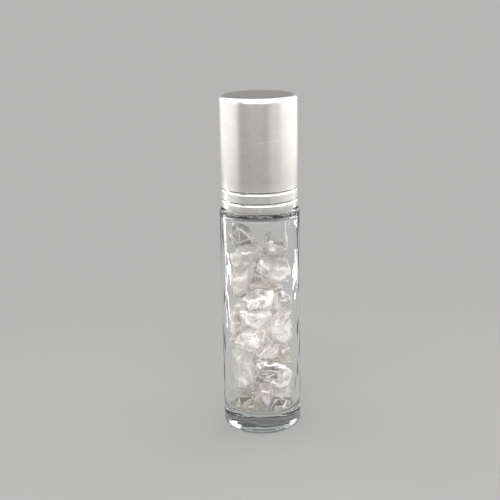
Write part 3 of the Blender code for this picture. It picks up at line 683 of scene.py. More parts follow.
def housing_outline():
    plug, wall, bead, bead_pitch = 4.55 * MM, 0.8 * MM, 0.25 * MM, 1.5 * MM
    flange_foot = LIP_HEIGHT + CLEARANCE
    flange_top, edge = flange_foot + 0.9 * MM, 0.2 * MM
    waist, feed_hole = SOCKET_RADIUS + 1.0 * MM, 2.6 * MM
    rim, rim_round = 0.9 * MM, 0.3 * MM
    line = Outline(plug - wall, PLUG_FOOT)
    line.round(plug - 1.2 * bead, PLUG_FOOT + bead, bead, -90, 0, steps=4)
    for number in (1, 2):
        line.round(plug, PLUG_FOOT + number * bead_pitch, bead, -80, 80, steps=8)
    line.to(plug, flange_foot)
    line.round(FLANGE_RADIUS - edge, flange_foot + edge, edge, -90, 0, steps=4)
    line.round(FLANGE_RADIUS - edge, flange_top - edge, edge, 0, 90, steps=4)
    line.round(waist + edge, flange_top + edge, edge, 270, 180, steps=4)
    line.to(waist, BALL_HEIGHT)
    lip = HOUSING_TOP - BALL_HEIGHT
    mouth = math.sqrt(SOCKET_RADIUS**2 - lip**2)
    line.round(mouth + rim - rim_round, HOUSING_TOP - rim_round, rim_round, 20, 90, steps=5)
    above = math.degrees(math.asin(lip / SOCKET_RADIUS))
    below = -math.degrees(math.acos(feed_hole / SOCKET_RADIUS))
    line.round(0, BALL_HEIGHT, SOCKET_RADIUS, above, below, steps=20)
    seat = BALL_HEIGHT + SOCKET_RADIUS * math.sin(math.radians(below))
    line.to(feed_hole, seat - wall).to(plug - wall, seat - wall)
    return line.mesh("housing_outline")


housing = grown(
    "roller_socket", housing_outline(), LATHE, Steps_round=120, Closed_outline=1, Material=NATURAL_PLASTIC
)
worn_by(housing, "bottle", "natural_plastic", "roller_housing")

# %% [markdown]
# ## The steel ball
# A bearing ball is as round as anything made, so it is an even sphere of fine triangles. What makes it look
# real is its finish: polished steel with hair-fine marks that run in all directions.

# %% Make the ball with its finish
STEEL_COLOUR = (0.66, 0.66, 0.67, 1)


def polished_steel():
    material, w = new_material("polished_steel")
    place = in_millimetres(w)
    scuffs = 1.0
    for number, lean in enumerate(((1.0, 14.0, 3.0), (12.0, 1.0, 4.0), (3.0, 6.0, 13.0))):
        moved = w.vector("ADD", w.vector("MULTIPLY", place, lean), (7.0 * number, 0, 0))
        scuffs = w.times(scuffs, w.ramp(w.noise(moved, 0.5), 0.30, 0.42))
    roughness = w.math("MULTIPLY_ADD", scuffs, -0.10, 0.17)
    shader = principled(w, STEEL_COLOUR, roughness, w.bump(scuffs, 0.15, 0.02 * MM), Metallic=1.0)
    w.node("ShaderNodeOutputMaterial", {"Surface": shader})
    return material


def ball_tree():
    tree, w, given = geometry_tree(
        "Bearing ball",
        Radius=("NodeSocketFloat", 5.0 * MM),
        Height=("NodeSocketFloat", 0.0),
        Fineness=("NodeSocketInt", 6),
        Material=("NodeSocketMaterial", None),
    )
    values = {"Radius": given["Radius"], "Subdivisions": given["Fineness"]}
    sphere = w.node("GeometryNodeMeshIcoSphere", values).outputs["Mesh"]
    raised = w.result("GeometryNodeTransform", {"Geometry": sphere, "Translation": w.xyz(z=given["Height"])})
    smooth = w.result("GeometryNodeSetShadeSmooth", {0: raised, 2: True})
    end_tree(w, smooth, given["Material"])
    return tree


STEEL = polished_steel()
ball = grown(
    "steel_ball", bpy.data.meshes.new("ball_host"), ball_tree(),
    Radius=BALL_RADIUS, Height=BALL_HEIGHT, Material=STEEL,
)
worn_by(ball, "ball", "polished_steel", "roller_ball")

# %% [markdown]
# ## The seal disc and the inner cap
# The disc is a soft washer with rounded edges and a shallow dent where the ball presses. The inner cap carries
# the thread that climbs the glass one: the same lathe tree makes it, with a depth that points inwards and a
# start half a lead higher, so that the ridges lie between each other.

# %% Turn the seal disc and the inner cap
disc_low, disc_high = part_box("seal_disc")
DISC_RADIUS, DISC_FOOT, DISC_TOP = disc_high.x, disc_low.z, disc_high.z
inner_low, inner_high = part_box("inner_cap")
INNER_RADIUS, INNER_FOOT, INNER_TOP = inner_high.x, inner_low.z, inner_high.z
CAP_BORE = NECK_RADIUS + THREAD_DEPTH + CLEARANCE
INNER_CEILING, CEILING_TOP = DISC_TOP + CLEARANCE, DISC_TOP + 1.3 * MM


def disc_outline():
    edge, dent = 0.25 * MM, 0.22 * MM
    line = Outline(0, DISC_FOOT + dent)
    line.to(1.2 * MM, DISC_FOOT + dent * 0.8).to(2.4 * MM, DISC_FOOT + dent * 0.3).to(3.3 * MM, DISC_FOOT)
    line.round(DISC_RADIUS - edge, DISC_FOOT + edge, edge, -90, 0, steps=5)
    line.round(DISC_RADIUS - edge, DISC_TOP - edge, edge, 0, 90, steps=5)
    line.to(0, DISC_TOP)
    return line.mesh("disc_outline")


def inner_cap_outline():
    waist, pocket, bead = 7.2 * MM, DISC_RADIUS + CLEARANCE, 0.6 * MM
    waist_start = LIP_HEIGHT + 1.5 * MM
    bead_foot = DISC_FOOT - 0.8 * MM
    edge, chamfer, lead_in = 0.15 * MM, 0.5 * MM, 0.3 * MM
    line = Outline(0, INNER_CEILING)
    line.to(pocket, INNER_CEILING).to(pocket, DISC_FOOT - CLEARANCE)
    line.to(pocket - bead, bead_foot + 0.25 * MM).to(pocket - bead, bead_foot).to(waist, bead_foot - bead)
    line.to(waist, waist_start + THREAD_DEPTH).to(CAP_BORE, waist_start)
    line.to(CAP_BORE, INNER_FOOT + lead_in, steps=round((waist_start - INNER_FOOT) / THREAD_FINENESS), thread=1.0)
    line.to(CAP_BORE + lead_in, INNER_FOOT)
    line.round(INNER_RADIUS - edge, INNER_FOOT + edge, edge, -90, 0, steps=3)
    line.to(INNER_RADIUS, INNER_TOP - chamfer, steps=4).to(INNER_RADIUS - chamfer, INNER_TOP)
    line.to(CAP_BORE, INNER_TOP)
    line.round(CAP_BORE - edge, CEILING_TOP + edge, edge, 0, -90, steps=3)
    line.to(0, CEILING_TOP)
    return line.mesh("inner_cap_outline")


disc = grown("foam_disc", disc_outline(), LATHE, Steps_round=96, Material=FOAM)
worn_by(disc, "disc", "white_foam", "seal_disc")
inner_cap = grown(
    "threaded_liner", inner_cap_outline(), LATHE,
    Steps_round=140, Thread_depth=-THREAD_DEPTH, Thread_start=THREAD_START + THREAD_LEAD / 2,
    Thread_lead=THREAD_LEAD, Material=WHITE_PLASTIC,
)
worn_by(inner_cap, "cap", "white_plastic", "inner_cap")

# %% [markdown]
# ## The liner's ribs
# Six upright ribs brace the liner's ceiling under the aluminium. They repeat about the axis, so a tree puts one
# rib on each point of a small circle and turns it to face outwards.

# %% Set the ribs round the axis
def rib_tree():
    tree, w, given = geometry_tree(
        "Ribs round an axis",
        Count=("NodeSocketInt", 6),
        Inner_end=("NodeSocketFloat", 2.0 * MM),
        Outer_end=("NodeSocketFloat", 8.0 * MM),
        Foot=("NodeSocketFloat", 0.0),
        Top=("NodeSocketFloat", 4.0 * MM),
        Thickness=("NodeSocketFloat", 0.7 * MM),
        Material=("NodeSocketMaterial", None),
    )
    length = w.minus(given["Outer end"], given["Inner end"])
    height = w.minus(given["Top"], given["Foot"])
    rib = w.node("GeometryNodeMeshCube", {"Size": w.xyz(length, given["Thickness"], height)}).outputs["Mesh"]
    middle = w.times(w.plus(given["Inner end"], given["Outer end"]), 0.5)
    level = w.times(w.plus(given["Foot"], given["Top"]), 0.5)
    rib = w.result("GeometryNodeTransform", {"Geometry": rib, "Translation": w.xyz(middle, z=level)})
    points = w.result("GeometryNodePoints", {"Count": given["Count"]})
    place = w.plus(w.result("GeometryNodeInputIndex"), 0.5)
    angle = w.math("DIVIDE", w.times(place, math.tau), given["Count"])
    values = {"Points": points, "Instance": rib, "Rotation": w.xyz(z=angle)}
    end_tree(w, w.result("GeometryNodeInstanceOnPoints", values), given["Material"])
    return tree


ribs = grown(
    "liner_ribs", bpy.data.meshes.new("rib_host"), rib_tree(),
    Outer_end=CAP_BORE + 0.3 * MM, Foot=CEILING_TOP - 0.5 * MM, Top=INNER_TOP - 0.7 * MM,
    Material=WHITE_PLASTIC,
)
bevel = ribs.modifiers.new("softened_edges", "BEVEL")
bevel.width, bevel.segments = 0.08 * MM, 2
worn_by(ribs, "cap", "white_plastic")

# %% [markdown]
# ## Quartz
# Rock crystal chips are clear in places and milky in others, where the stone is full of tiny flaws. Broken
# faces are glossy and slightly wavy, and the edges between them are bruised white. That white is also a
# painted rim light, so every chip is outlined with light. The finish mixes clear stone and milky stone. A slow
# noise gives the clouds, the sides that face two chosen ways are painted milkier in patches, a painted light on
# those sides, thin clefts stay clear, and the tops are clearer. The chip's tree stores how near each point is to
# an edge, and the finish bruises it there and paints the rim light. Bright veins stand for the cracks that catch
# the light, and some of them are painted glints and painted bright outlines. In two chips a patch of painted glow
# does the same.

# %% The bright places in a chip
VEIN_AND_GLINT_SWAY, GLOW_SWAY = 1.6, 5.0  # how far a noise bends them, in millimetres


def vein_or_painted_glint(w, place, warp, start, end, half_width, strength):
    """How near a place is to a bright line that runs through the chip from front to back, seen from the front. The
    lines are cracks, painted glints and painted bright outlines.
    """
    (across, up), (to_across, to_up) = start, end
    first, run = Vector((across, 0, up)), Vector((to_across - across, 0, to_up - up))
    flat = w.vector("MULTIPLY", w.vector("ADD", place, w.scaled(warp, VEIN_AND_GLINT_SWAY)), (1, 0, 1))
    ahead = w.vector("SUBTRACT", flat, tuple(first + Vector((VEIN_AND_GLINT_SWAY / 2, 0, VEIN_AND_GLINT_SWAY / 2))))
    share = w.math("DIVIDE", w.dot(ahead, tuple(run)), run.length_squared)
    share = w.math("MINIMUM", w.most(share, 0.0), 1.0)
    gone = w.length(w.vector("SUBTRACT", ahead, w.scaled(tuple(run), share)))
    return w.ramp(gone, half_width * 1.25, half_width * 0.55, 0.0, strength)


def glow(w, place, moved, middle, size):
    """How near a place is to a patch inside the chip where light gathers."""
    bent = w.vector("ADD", place, w.scaled(w.drift(moved, 0.45), GLOW_SWAY))
    gone = w.length(w.vector("SUBTRACT", bent, tuple(part + GLOW_SWAY / 2 for part in middle)))
    patchy = w.ramp(w.noise(moved, 1.1, detail=3.0), 0.40, 0.60, 0.25)
    return w.times(w.ramp(gone, size, size * 0.3), patchy)


# %% The finish of one chip
def milk_and_painted_light(w, number, look, moved, veil, crackle):
    """How milky the stone is: in the veil's clouds and in the crackle, and painted milkier towards two sides as
    painted light, but less on top.
    """
    milk = w.ramp(veil, 0.70 - 0.30 * look["milk"], 0.78 - 0.30 * look["milk"], look["haze"], look["cloud"])
    milk = w.most(milk, crackle)
    mottled = w.ramp(w.noise(moved, 0.9, detail=3.0, Distortion=0.6), 0.32, 0.60, 0.62)
    normal = w.node("ShaderNodeTexCoord").outputs["Normal"]
    back = Matrix.Rotation(2.4 * number, 3, "Z") @ Vector((0.5, 0.3, 0.6))
    back.y = abs(back.y) + 0.4
    # Painted light: faces turned towards each of two sides are painted milkier, so whiter, in patches.
    for side in (Vector(look["painted_light_side"]), back):
        facing = w.math("MULTIPLY_ADD", w.minus(veil, 0.5), 0.9, w.dot(normal, tuple(side.normalized())))
        milk = w.most(milk, w.times(w.ramp(facing, 0.05, 1.10, 0.0, look["painted_light_strength"]), mottled))
    return w.times(milk, w.ramp(w.parts(normal)["Z"], 0.35, 0.85, 1.0, look["top"]))


def quartz(number, look):
    material, w = new_material(f"quartz_{number:02d}")
    place = in_millimetres(w)
    moved = w.vector("ADD", place, (number * 5.3, number * 2.9, number * 7.1))
    veil = w.noise(moved, 0.3, detail=3.0, Distortion=1.0)
    crackle = w.noise(moved, 0.5, detail=3.0, Roughness=0.6, Distortion=1.0)
    crackle = w.times(w.ramp(crackle, 0.56, 0.60), look["crackle"])
    # The stored rim whitens the bruised edges and also paints a rim of light round each chip.
    bright = w.times(w.node("ShaderNodeAttribute", attribute_name="rim").outputs["Fac"], look["rim"])
    warp = w.drift(moved, 0.7)
    # Cracks, painted glints and painted bright outlines, all drawn as bright lines.
    for half_width, strength, *points in look["veins_and_painted_glints"]:
        for start, end in zip(points, points[1:]):
            bright = w.most(bright, vein_or_painted_glint(w, place, warp, start, end, half_width, strength))
    pale = look["pale"]
    if "glow" in look:
        middle, size, colour = look["glow"]
        lit = glow(w, place, moved, middle, size)
        bright = w.most(bright, w.times(lit, 0.9))
        pale = w.mix_colour(lit, pale, colour)
    winding = w.noise(moved, 0.55, Distortion=0.8)
    clefts = w.ramp(w.math("ABSOLUTE", w.minus(winding, 0.5)), 0.045, 0.015, 0.0, look["clefts"])
    milk = w.times(milk_and_painted_light(w, number, look, moved, veil, crackle), w.minus(1.0, clefts))
    tone = w.mix_colour(bright, w.mix_colour(milk, look["tint"], look["body"]), pale)
    milk = w.most(milk, bright)
    relief = w.math("MULTIPLY_ADD", crackle, 0.4, w.noise(moved, 1.3, detail=3.0))
    shader = principled(
        w, tone, w.math("MULTIPLY_ADD", milk, 0.10, 0.02), w.bump(relief, look["unevenness"], 0.12 * MM),
        IOR=1.54, Transmission_Weight=w.minus(1.0, milk),
    )
    lets_lamps_through(w, shader, (0.96, 0.955, 0.945, 1), 0.85)
    return material


# %% [markdown]
# ## The shape of a chip
# The CAD chips are convex and flat-faced, which keeps them apart and simple to handle. A real chip was knocked
# off a crystal and then tumbled: its edges are round, and its faces are shell-shaped where the stone flaked.
# The tree first turns the chip into a volume and back, which gives an even skin, then smooths that skin, and
# last moves it inwards by a slow ripple, by shell-shaped flakes and, on some chips, by parallel grooves or one
# hollow. The CAD chip's sharp edges mark where the skin is bruised and where the finish paints a rim of light.

# %% The chip tree
CHIP_EDGE_BEND = math.radians(24)  # an edge of the CAD chip that bends by more than this gets bruised


def chip_tree():
    tree, w, given = geometry_tree(
        "Quartz chip",
        Voxel=("NodeSocketFloat", 0.16 * MM),
        Rounding=("NodeSocketInt", 9),
        Swell=("NodeSocketFloat", 0.14 * MM),
        Ripple=("NodeSocketFloat", 0.22 * MM),
        Ripple_size=("NodeSocketFloat", 3.2 * MM),
        Flakes=("NodeSocketFloat", 0.24 * MM),
        Flake_size=("NodeSocketFloat", 3.2 * MM),
        Grooves=("NodeSocketFloat", 0.0),
        Groove_pitch=("NodeSocketFloat", 1.2 * MM),
        Groove_direction=("NodeSocketVector", (0.0, 0.0, 1.0)),
        Hollow=("NodeSocketFloat", 0.0),
        Hollow_place=("NodeSocketVector", (0.0, 0.0, 0.0)),
        Hollow_size=("NodeSocketFloat", 2.0 * MM),
        Rim_width=("NodeSocketFloat", 0.50 * MM),
        Seed=("NodeSocketFloat", 0.0),
        Material=("NodeSocketMaterial", None),
    )
    hull = given["Geometry"]
    values = {"Mesh": hull, "Voxel Size": given["Voxel"], "Interior Band Width": w.times(given["Voxel"], 3.0)}
    solid = w.result("GeometryNodeMeshToVolume", values, resolution_mode="VOXEL_SIZE")
    values = {"Volume": solid, "Threshold": 0.12}
    skin = w.result("GeometryNodeVolumeToMesh", values, resolution_mode="GRID")
    place = w.result("GeometryNodeInputPosition")
    values = {"Value": place, "Iterations": given["Rounding"]}
    soft = w.result("GeometryNodeBlurAttribute", values, data_type="FLOAT_VECTOR")
    skin = w.result("GeometryNodeSetPosition", {"Geometry": skin, "Position": soft})
    seeded = w.vector("ADD", place, w.xyz(given["Seed"], given["Seed"]))

    def per_size(size):
        return w.math("DIVIDE", 1.0, size)

    wave = w.noise(seeded, per_size(given["Ripple size"]), detail=1.5)
    outward = w.times(given["Swell"], -1.0)
    inward = w.math("MULTIPLY_ADD", w.ramp(wave, 0.3, 0.75), given["Ripple"], outward)
    shell = w.cells(seeded, per_size(given["Flake size"]), feature="SMOOTH_F1", Smoothness=0.12)
    scoop = w.minus(1.0, w.math("MINIMUM", w.math("POWER", shell, 2.0), 1.0))
    inward = w.plus(inward, w.times(w.ramp(scoop, 0.55, 1.0), given["Flakes"]))
    along = w.dot(w.vector("ADD", seeded, w.scaled(w.drift(seeded, 400.0), 0.6 * MM)),
                  w.vector("NORMALIZE", given["Groove direction"]))
    wave = w.math("SINE", w.times(w.math("DIVIDE", along, given["Groove pitch"]), math.tau))
    inward = w.plus(inward, w.times(w.math("MULTIPLY_ADD", wave, 0.5, 0.5), given["Grooves"]))
    gone = w.math("DIVIDE", w.length(w.vector("SUBTRACT", place, given["Hollow place"])), given["Hollow size"])
    inward = w.plus(inward, w.times(w.ramp(gone, 1.0, 0.15), given["Hollow"]))
    normal = w.result("GeometryNodeInputNormal")
    offset = w.scaled(normal, w.times(inward, -1.0))
    skin = w.result("GeometryNodeSetPosition", {"Geometry": skin, "Offset": offset})
    sharp = w.math("GREATER_THAN", w.result("GeometryNodeInputMeshEdgeAngle"), CHIP_EDGE_BEND)
    edges = w.result("GeometryNodeSeparateGeometry", {0: hull, 1: sharp}, domain="EDGE")
    near = w.node("GeometryNodeProximity", {0: edges}, target_element="EDGES").outputs["Distance"]
    broken = w.math("MULTIPLY_ADD", w.noise(seeded, 700.0, detail=3.0), 1.3, 0.3)
    rim = w.ramp(near, w.times(given["Rim width"], broken), 0.0)
    values = {"Geometry": skin, "Name": "rim", "Value": rim}
    named = w.result("GeometryNodeStoreNamedAttribute", values, data_type="FLOAT")
    smooth = w.result("GeometryNodeSetShadeSmooth", {0: named, 2: True})
    end_tree(w, smooth, given["Material"])
    return tree


CHIP = chip_tree()
print("Chip tree:", len(CHIP.nodes), "nodes")

# %% [markdown]
# ## Each chip's character
# No two chips are alike, and the front ones can be told apart in the photograph: a pointed shard at the top,
# a bright curved one under it, a fan of grooves at the right, a glossy saddle below that. The tables give what
# sets each chip apart from a plain one: its finish, its bright veins and painted glints, and its shape.

# %% Looks of the chips
WARM, ROSE, BEIGE = (0.51, 0.437, 0.399, 1), (0.47, 0.41, 0.41, 1), (0.49, 0.457, 0.399, 1)
GLOW_WHITE, GLOW_WARM = (0.99, 0.953, 0.933, 1), (0.99, 0.928, 0.836, 1)
WHITE_BODY, PALE_BODY = (0.965, 0.923, 0.894, 1), (0.88, 0.835, 0.80, 1)
# The colours of clear stone, milky stone and bright places, then how much there is of each kind of flaw. The
# bright places are bruised edges and cracks, with painted rim light and painted glints among them. A chosen side
# of each chip is painted milkier, a painted light on that side. "top" is the share of the milk that is left on
# faces that look up.
PLAIN_LOOK = dict(
    tint=(0.43, 0.403, 0.384, 1), body=(0.80, 0.758, 0.724, 1), pale=(0.99, 0.948, 0.919, 1),
    milk=0.35, haze=0.10, cloud=0.85, crackle=0.0, rim=0.9, unevenness=0.4,
    painted_light_side=(0.4, -0.5, 0.8), painted_light_strength=0.85, top=0.5, clefts=0.4,
)
LOOKS = {
    1: dict(milk=0.2, haze=0.2, painted_light_side=(0.6, -0.6, 0.5), painted_light_strength=0.6),
    2: dict(body=(0.75, 0.71, 0.68, 1), clefts=0.15, unevenness=0.25, milk=0.6, haze=0.5, rim=0.6,
            painted_light_side=(0.3, -0.8, 0.5), painted_light_strength=0.75),
    3: dict(body=(0.93, 0.885, 0.855, 1), clefts=0.2, milk=0.6, haze=0.5, rim=0.6, top=0.7,
            painted_light_side=(-0.8, -0.5, 0.3)),
    4: dict(body=(0.90, 0.865, 0.835, 1), clefts=0.2, milk=0.5, haze=0.4, cloud=0.95, rim=0.4,
            painted_light_side=(0.2, -0.8, -0.5), painted_light_strength=0.95),
    5: dict(body=PALE_BODY, clefts=0.15, unevenness=0.25, milk=0.7, haze=0.5, rim=0.6),
    6: dict(tint=WARM, milk=0.6, top=0.9),
    7: dict(body=WHITE_BODY, top=0.9, clefts=0.85, milk=0.7, haze=0.4, cloud=0.95, crackle=0.7,
            painted_light_side=(0.8, -0.5, 0.3), glow=((2.4, -5.5, 35.0), 3.4, GLOW_WHITE)),
    8: dict(milk=0.25, top=0.4, painted_light_side=(0.3, -0.8, 0.7), painted_light_strength=0.5),
    9: dict(body=WHITE_BODY, tint=ROSE, top=0.9, clefts=0.45, milk=0.9, haze=0.6, cloud=0.97, crackle=0.6,
            painted_light_side=(0.1, -0.8, -0.6)),
    10: dict(body=WHITE_BODY, tint=ROSE, top=0.9, clefts=0.5, milk=0.8, haze=0.55, cloud=0.97,
             painted_light_side=(-0.4, -0.9, 0.0), glow=((3.4, -5.0, 28.0), 3.4, GLOW_WARM)),
    11: dict(body=WHITE_BODY, milk=0.5, haze=0.3, painted_light_side=(-0.8, -0.6, 0.0), painted_light_strength=0.95),
    12: dict(body=WHITE_BODY, tint=WARM, top=0.9, clefts=0.7, milk=0.8, haze=0.5, cloud=0.95, crackle=0.5,
             painted_light_side=(-0.1, -0.8, -0.6)),
    13: dict(body=(0.87, 0.826, 0.802, 1), clefts=0.1, milk=0.7, haze=0.6, rim=0.6, unevenness=0.25,
             painted_light_strength=0.4, top=0.8),
    14: dict(body=(0.72, 0.671, 0.603, 1), tint=BEIGE, clefts=0.15, milk=0.9, haze=0.6,
             painted_light_side=(0.3, -0.9, 0.4)),
    15: dict(body=PALE_BODY, milk=0.25, rim=0.4, painted_light_side=(0.7, -0.7, -0.5)),
    16: dict(body=(0.79, 0.725, 0.71, 1), tint=ROSE, clefts=0.2, milk=0.7, haze=0.5, crackle=0.7),
    17: dict(clefts=0.1, milk=0.8, haze=0.6, unevenness=0.25, top=0.4),
    18: dict(body=(0.80, 0.755, 0.70, 1), pale=(0.80, 0.768, 0.729, 1), tint=BEIGE, haze=0.3, top=0.2,
             painted_light_side=(-0.2, -0.9, 0.6), painted_light_strength=0.3),
    19: dict(milk=0.25, painted_light_strength=0.4, top=0.2),
    21: dict(body=(0.85, 0.79, 0.77, 1), tint=ROSE, clefts=0.1, milk=0.9, haze=0.6, unevenness=0.2,
             painted_light_side=(-0.2, -0.9, 0.3)),
    **dict.fromkeys((26, 27, 28, 29), dict(body=WHITE_BODY, clefts=0.1, milk=0.9, haze=0.7)),
}
print(len(LOOKS), "chips have a finish of their own")

# %% Veins and painted glints of the front chips
# Some veins are cracks, and others are painted glints and painted bright outlines. Each is a line through points:
# half its width and how plain it is, then how far across and up each point is, seen from the front. Millimetres.
VEINS_AND_PAINTED_GLINTS = {
    1: ((0.2, 0.8, (-7.7, 52.3), (-6.2, 55.0)), (0.2, 0.8, (-5.9, 55.0), (-3.7, 54.5)),
        (0.3, 0.8, (-3.7, 54.5), (-1.3, 51.4)), (0.2, 0.9, (-1.3, 51.4), (-1.8, 49.6)),
        (0.2, 0.5, (-5.4, 54.3), (-5.0, 49.9)), (0.2, 0.7, (-7.7, 52.0), (-6.3, 49.4))),
    2: ((0.2, 0.8, (-0.3, 49.8), (0.7, 51.4), (2.2, 51.6)), (0.25, 0.8, (2.2, 51.6), (6.0, 49.5)),
        (0.2, 0.8, (6.0, 49.5), (7.0, 47.9), (6.2, 46.1)), (0.3, 0.9, (2.5, 49.5), (3.0, 49.5)),
        (0.3, 0.9, (2.5, 47.7), (3.5, 47.7))),
    3: ((0.5, 0.9, (-7.2, 48.3), (-7.3, 46.5)), (0.15, 0.8, (-5.0, 49.3), (-2.0, 49.8)),
        (0.25, 0.9, (-4.0, 48.0), (-2.5, 48.0)), (0.2, 0.7, (-4.1, 45.9), (-3.6, 45.9))),
    4: ((0.5, 0.95, (-0.6, 46.0), (1.4, 43.9)), (0.4, 0.9, (-0.1, 44.0), (0.1, 42.4)),
        (0.5, 0.95, (0.1, 42.4), (1.1, 41.7)), (0.8, 0.97, (1.1, 41.7), (3.3, 41.4), (5.6, 41.6)),
        (0.6, 0.97, (5.6, 41.6), (6.5, 42.4)), (0.5, 0.9, (6.5, 42.4), (5.6, 43.6)),
        (0.3, 0.8, (5.6, 43.6), (4.1, 43.6))),
    5: ((0.25, 0.8, (-7.4, 42.8), (-7.5, 37.6)), (0.35, 0.5, (-2.9, 43.0), (-5.2, 39.9)),
        (0.25, 0.7, (-7.3, 36.8), (-5.5, 35.4))),
    7: ((0.9, 0.97, (2.5, 36.7), (1.8, 33.2)), (0.3, 0.97, (-4.0, 35.4), (1.0, 36.1))),
    8: ((0.25, 0.9, (4.0, 34.9), (5.8, 34.9)), (0.2, 0.8, (4.6, 37.0), (6.8, 35.6), (7.3, 34.0)),
        (0.2, 0.7, (7.3, 34.0), (5.8, 32.7))),
    9: ((0.6, 0.97, (-4.5, 31.4), (-2.4, 28.9)), (0.7, 0.97, (2.1, 31.8), (-0.3, 28.7)),
        (0.7, 0.97, (-2.4, 28.9), (-0.3, 28.7))),
    10: ((1.1, 0.97, (2.2, 26.8), (5.2, 27.8)), (0.5, 0.97, (6.3, 29.0), (6.5, 22.4))),
    11: ((0.4, 0.97, (-7.9, 31.0), (-8.1, 26.9)), (0.4, 0.97, (-7.9, 26.4), (-7.2, 24.0))),
    12: ((0.5, 0.97, (-7.0, 23.8), (-4.3, 21.4), (-2.5, 20.4)), (0.6, 0.97, (-2.4, 24.7), (-1.2, 23.6)),
         (0.5, 0.97, (-2.5, 20.4), (0.6, 21.6))),
    13: ((0.3, 0.6, (-7.5, 21.9), (-7.6, 13.7)), (0.2, 0.6, (-7.6, 13.7), (-5.7, 10.6)),
         (0.25, 0.95, (-4.4, 14.2), (-4.3, 11.4)), (0.15, 0.35, (-4.8, 21.0), (-3.1, 15.8)),
         (0.2, 0.5, (-1.3, 14.1), (-3.4, 10.5))),
    14: ((0.22, 0.7, (5.6, 20.1), (7.5, 20.7)), (0.22, 0.8, (5.9, 18.9), (7.7, 19.2)),
         (0.22, 0.8, (5.9, 17.3), (7.7, 17.8)), (0.15, 0.5, (1.9, 18.0), (5.6, 20.1))),
    15: ((0.3, 0.97, (-1.2, 15.2), (-1.3, 17.0), (-0.2, 18.0), (3.9, 17.8), (6.1, 17.0)),
         (0.4, 0.97, (6.1, 17.0), (7.3, 15.4)), (0.6, 0.97, (7.3, 15.4), (7.2, 13.4)),
         (0.3, 0.97, (-1.2, 15.2), (-0.7, 14.1), (2.9, 13.2)), (0.7, 0.97, (2.9, 13.6), (4.5, 12.6)),
         (0.8, 0.97, (4.5, 12.6), (6.6, 13.0)), (0.6, 0.97, (5.5, 15.7), (6.1, 15.7)),
         (0.25, 0.97, (-0.6, 15.2), (1.2, 16.2), (2.7, 15.7), (1.2, 14.7))),
    16: ((0.4, 0.4, (0.0, 7.8), (1.6, 5.7)),),
    17: ((0.4, 0.4, (5.1, 9.8), (7.0, 9.3)),),
    18: ((0.2, 0.9, (-6.3, 8.5), (-5.0, 9.1)), (0.2, 0.5, (-6.0, 6.8), (-1.6, 8.5)),
         (0.15, 0.5, (-6.8, 8.0), (-6.3, 5.7)), (0.2, 0.6, (-5.8, 5.2), (-0.1, 5.1))),
    19: ((0.2, 0.8, (5.3, 8.7), (6.8, 7.8), (6.6, 6.4)), (0.15, 0.6, (2.5, 7.1), (5.0, 7.9))),
    21: ((0.2, 0.97, (-2.0, 18.0), (3.0, 21.2)), (0.15, 0.97, (-1.7, 19.4), (1.3, 21.9))),
}
print(sum(len(lines) for lines in VEINS_AND_PAINTED_GLINTS.values()), "veins in", len(VEINS_AND_PAINTED_GLINTS), "chips")

# %% Shapes of the chips
SHAPES = {
    1: dict(Rounding=2, Flakes=0.2 * MM, Ripple=0.1 * MM),
    2: dict(Rounding=14, Ripple=0.4 * MM),
    3: dict(Rounding=18, Flakes=0.15 * MM, Ripple=0.3 * MM),
    4: dict(Rounding=18, Flakes=0.15 * MM, Ripple=0.35 * MM),
    5: dict(Rounding=12, Flakes=0.15 * MM),
    9: dict(Rounding=3, Rim_width=0.55 * MM),
    13: dict(Rounding=14, Flakes=0.15 * MM, Grooves=0.25 * MM, Groove_pitch=2.6 * MM,
             Groove_direction=(1.0, 0.2, 0.1)),
    14: dict(Flakes=0.1 * MM, Grooves=0.7 * MM, Groove_pitch=1.5 * MM, Groove_direction=(-0.2, 0.0, 1.0)),
    15: dict(Rounding=12, Ripple=0.3 * MM, Hollow=1.6 * MM, Hollow_place=(1.5 * MM, -7.0 * MM, 14.6 * MM),
             Hollow_size=2.6 * MM),
    17: dict(Grooves=0.2 * MM, Groove_pitch=0.9 * MM, Groove_direction=(0.8, 0.0, 1.0)),
    21: dict(Rounding=12, Flakes=0.1 * MM, Grooves=0.18 * MM, Groove_pitch=0.9 * MM,
             Groove_direction=(-0.5, 0.0, 0.85)),
}
print(len(SHAPES), "chips have a shape of their own")

# %% Grow the chips
SEED_STEP = 0.37


def merged_copy(node):
    """A CAD node's mesh as a host for a tree, with its loose triangles joined."""
    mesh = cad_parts[node].data.copy()
    mesh.materials.clear()
    clean(mesh)
    return mesh


chip_nodes = sorted(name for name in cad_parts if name.startswith("quartz_chip_"))
for number, node in enumerate(chip_nodes, start=1):
    finish = quartz(number, {**PLAIN_LOOK, **LOOKS.get(number, {}), "veins_and_painted_glints": VEINS_AND_PAINTED_GLINTS.get(number, ())})
    chip = grown(
        node.replace("quartz_chip", "chip"), merged_copy(node), CHIP,
        Seed=number * SEED_STEP, Material=finish, **SHAPES.get(number, {}),
    )
    worn_by(chip, "bottle", "clear_quartz", node)
print(len(chip_nodes), "chips")

# %% [markdown]
# ## The studio
# The bottle stands on a plain pale floor that runs into a pale surround, so no horizon shows. The surround
# darkens overhead, which gives the metal and the glass something to show.

# %% Floor and surround
BACKGROUND = (0.47, 0.466, 0.462, 1)
OVERHEAD = (0.10, 0.10, 0.105, 1)
FLOOR_COLOUR, FLOOR_RADIUS = (0.335, 0.332, 0.328, 1), 8.0


def seen_directly(w):
    """1 for the rays that show the background: from the camera, or by way of metal and glass."""
    rays = w.node("ShaderNodeLightPath").outputs
    mirrored = w.most(rays["Is Glossy Ray"], rays["Is Transmission Ray"])
    return w.most(rays["Is Camera Ray"], mirrored)


